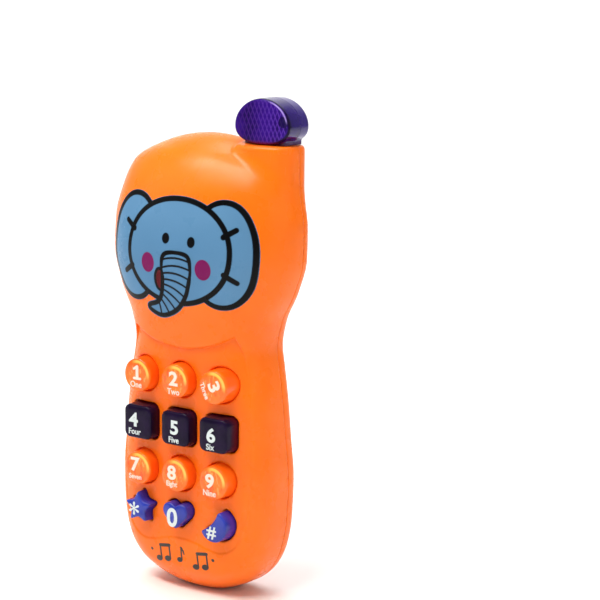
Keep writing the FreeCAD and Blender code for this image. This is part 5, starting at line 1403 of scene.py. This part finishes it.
def lens_distance(side):
    s = -1.0 if side == "front" else 1.0
    deep = 7.45 if side == "front" else 6.2

    def f(x, y, z):
        u = s * y
        e = egg_plan(x, z) + 0.04 * np.clip(u, 0, 9)
        body = smax(e, u - deep, 1.0)
        neck = np.maximum.reduce([np.abs(x - 28) - 6.0, u - 4.0, 173.2 - z, z - 181.0])
        foot = np.maximum.reduce([np.abs(x - 28) - 7.8, u - 4.0, 173.2 - z, z - 175.6])
        pad = np.maximum.reduce([np.abs(x - 28) - 9.6, u - 5.2, 178.9 - z, z - 181.0])
        body = smin(smin(body, neck, 0.5), pad, 0.5)
        body = np.minimum(body, foot)
        a, b = (x - LX) + (z - LZ), (x - LX) - (z - LZ)
        p = 2.7
        tri = (np.abs((a / p) % 1.0 - 0.5) + np.abs((b / p) % 1.0 - 0.5))
        relief = 0.75 * (tri - 0.5)
        hollow = np.maximum(e + 1.4, u - (deep - 1.75) - relief)
        body = np.maximum(body, -hollow)
        body = np.maximum(body, -np.maximum.reduce([np.abs(x - 28) - 4.4, u - 2.6, z - 187.2]))
        boss = np.maximum(np.hypot(x - 35.6, z - 188.2) - 2.1, u - (deep - 1.0))
        body = np.minimum(body, boss)
        return smax(body, 0.04 - u, 0.12)
    return f


for side, node in (("front", "antenna_lens_front"), ("rear", "antenna_lens_rear")):
    f = lens_distance(side)
    lo, hi = ((13.5, -8.2, 172.4), (42.5, 0.8, 198.2)) if side == "front" else ((13.5, -0.8, 172.4), (42.5, 7.0, 198.2))
    v, q = surface_net(f, lo, hi, 0.25)
    v = settle(f, v, 3, 0.2)
    v = relax(v, q, 1, f)
    ob = mesh_object(node + "_skin", v, q, True, lens_mat)
    ob.data.set_sharp_from_angle(angle=math.radians(38))
    stand_for(ob, node, "housing")

# carried-over parts
CARRY = {
    "case_screws": zinc, "board_screws": zinc, "speaker_screws": zinc, "battery_cover_screw": zinc,
    "rubber_keypad": rubber_mat, "carbon_pills": carbon_mat, "key_contacts": pad_mat, "circuit_board": board_mat,
    "sound_chip": epoxy_mat, "resistors": tan_mat, "capacitor": blue_can, "transistor": black_plastic,
    "keypad_leds": white_led, "solder_joints": solder, "battery_cell_left": cell_material(True),
    "battery_cell_right": cell_material(False), "battery_bridge": nickel, "battery_positive_contact": nickel,
    "battery_negative_contact": nickel, "battery_springs": steel, "speaker_frame": black_plastic,
    "speaker_magnet": magnet_mat, "speaker_yoke": yoke_mat, "speaker_cone": paper_mat, "speaker_dust_cap": paper_mat,
    "speaker_voice_coil": copper, "antenna_led": red_led, "battery_wire_red": red_wire, "battery_wire_black": black_wire,
    "speaker_wires": blue_wire, "antenna_wires": yellow_wire}
for node, mat in CARRY.items():
    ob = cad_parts[node]
    ob.data.materials.clear()
    ob.data.materials.append(mat)

# ----------------------------------------------------------------------------- stage, light, camera
floor_mat = Mat("pale_floor")
tone = floor_mat.mix(floor_mat.ramp(floor_mat.noise(6, 3.0), 0.3, 0.7), (0.86, 0.86, 0.86, 1), (0.89, 0.89, 0.89, 1))
floor_mat.set(Base_Color=tone, Roughness=0.7, Specular_IOR_Level=0.2)
PSI = math.radians(38.5)
prof = [(-2.5, 0.0), (0.0, 0.0), (0.9, 0.0)] + [(0.9 + 0.7 * math.sin(math.radians(a)), 0.7 - 0.7 * math.cos(math.radians(a))) for a in range(6, 91, 6)] + [(1.6, 2.6)]
pts, quads = [], []
for k, (run, high) in enumerate(prof):
    for w in (-3.0, 3.0):
        pts.append((-math.sin(PSI) * run + math.cos(PSI) * w, math.cos(PSI) * run + math.sin(PSI) * w, high))
    if k:
        quads.append((2 * k - 2, 2 * k - 1, 2 * k + 1, 2 * k))
me = bpy.data.meshes.new("floor")
me.from_pydata(pts, [], quads)
me.polygons.foreach_set("use_smooth", np.ones(len(me.polygons), bool))
floor = bpy.data.objects.new("floor", me)
COLL.objects.link(floor)
me.materials.append(floor_mat.m)

world = bpy.data.worlds.new("studio")
world.use_nodes = True
bg = world.node_tree.nodes["Background"]
bg.inputs[0].default_value = (0.93, 0.96, 1.0, 1)
bg.inputs[1].default_value = 0.30
bpy.context.scene.world = world


def softbox(name, at, to, size_x, size_y, power, color=(1, 1, 1)):
    data = bpy.data.lights.new(name, "AREA")
    data.shape = "RECTANGLE"
    data.size, data.size_y = size_x, size_y
    data.energy = power
    data.color = color
    ob = bpy.data.objects.new(name, data)
    COLL.objects.link(ob)
    ob.location = at
    d = Vector(to) - Vector(at)
    ob.rotation_euler = d.to_track_quat("-Z", "Y").to_euler()
    return ob


softbox("strip_box", (-0.18, -0.52, 1.02), (0.0, 0.0, 0.15), 1.0, 0.24, 11.5, (1.0, 0.95, 0.86))
softbox("top_box", (0.1, 0.15, 1.5), (0, 0.1, 0.0), 1.6, 1.4, 15.0)
softbox("left_box", (-1.2, -0.9, 0.75), (0, 0, 0.09), 0.9, 1.0, 2.2)
softbox("right_box", (1.7, -0.1, 0.8), (0, 0, 0.1), 1.5, 1.4, 5.5, (1.0, 0.92, 0.70))
softbox("wall_box", (-0.4, 0.5, 1.9), (-1.0, 1.3, 0.4), 1.8, 0.6, 16.0)

cam_data = bpy.data.cameras.new("camera")
cam = bpy.data.objects.new("camera", cam_data)
COLL.objects.link(cam)
AIM, DIP, ROLL = math.radians(35.3031), math.radians(9.9688), math.radians(0.5865)
fwd = Vector((-math.sin(AIM) * math.cos(DIP), math.cos(AIM) * math.cos(DIP), -math.sin(DIP)))
flat = Vector((math.cos(AIM), math.sin(AIM), 0))
over_it = flat.cross(fwd)
right = flat * math.cos(ROLL) + over_it * math.sin(ROLL)
up = over_it * math.cos(ROLL) - flat * math.sin(ROLL)
rot = Matrix((right, up, -fwd)).transposed()
cam.matrix_world = Matrix.Translation(Vector((0.46850, -0.60337, 0.24977))) @ rot.to_4x4()
cam_data.sensor_width = 36
cam_data.lens = 117.66
cam_data.clip_start = 0.01
cam_data.clip_end = 50
bpy.context.scene.camera = cam
bpy.context.scene.view_settings.view_transform = "Standard"

bpy.context.view_layer.update()
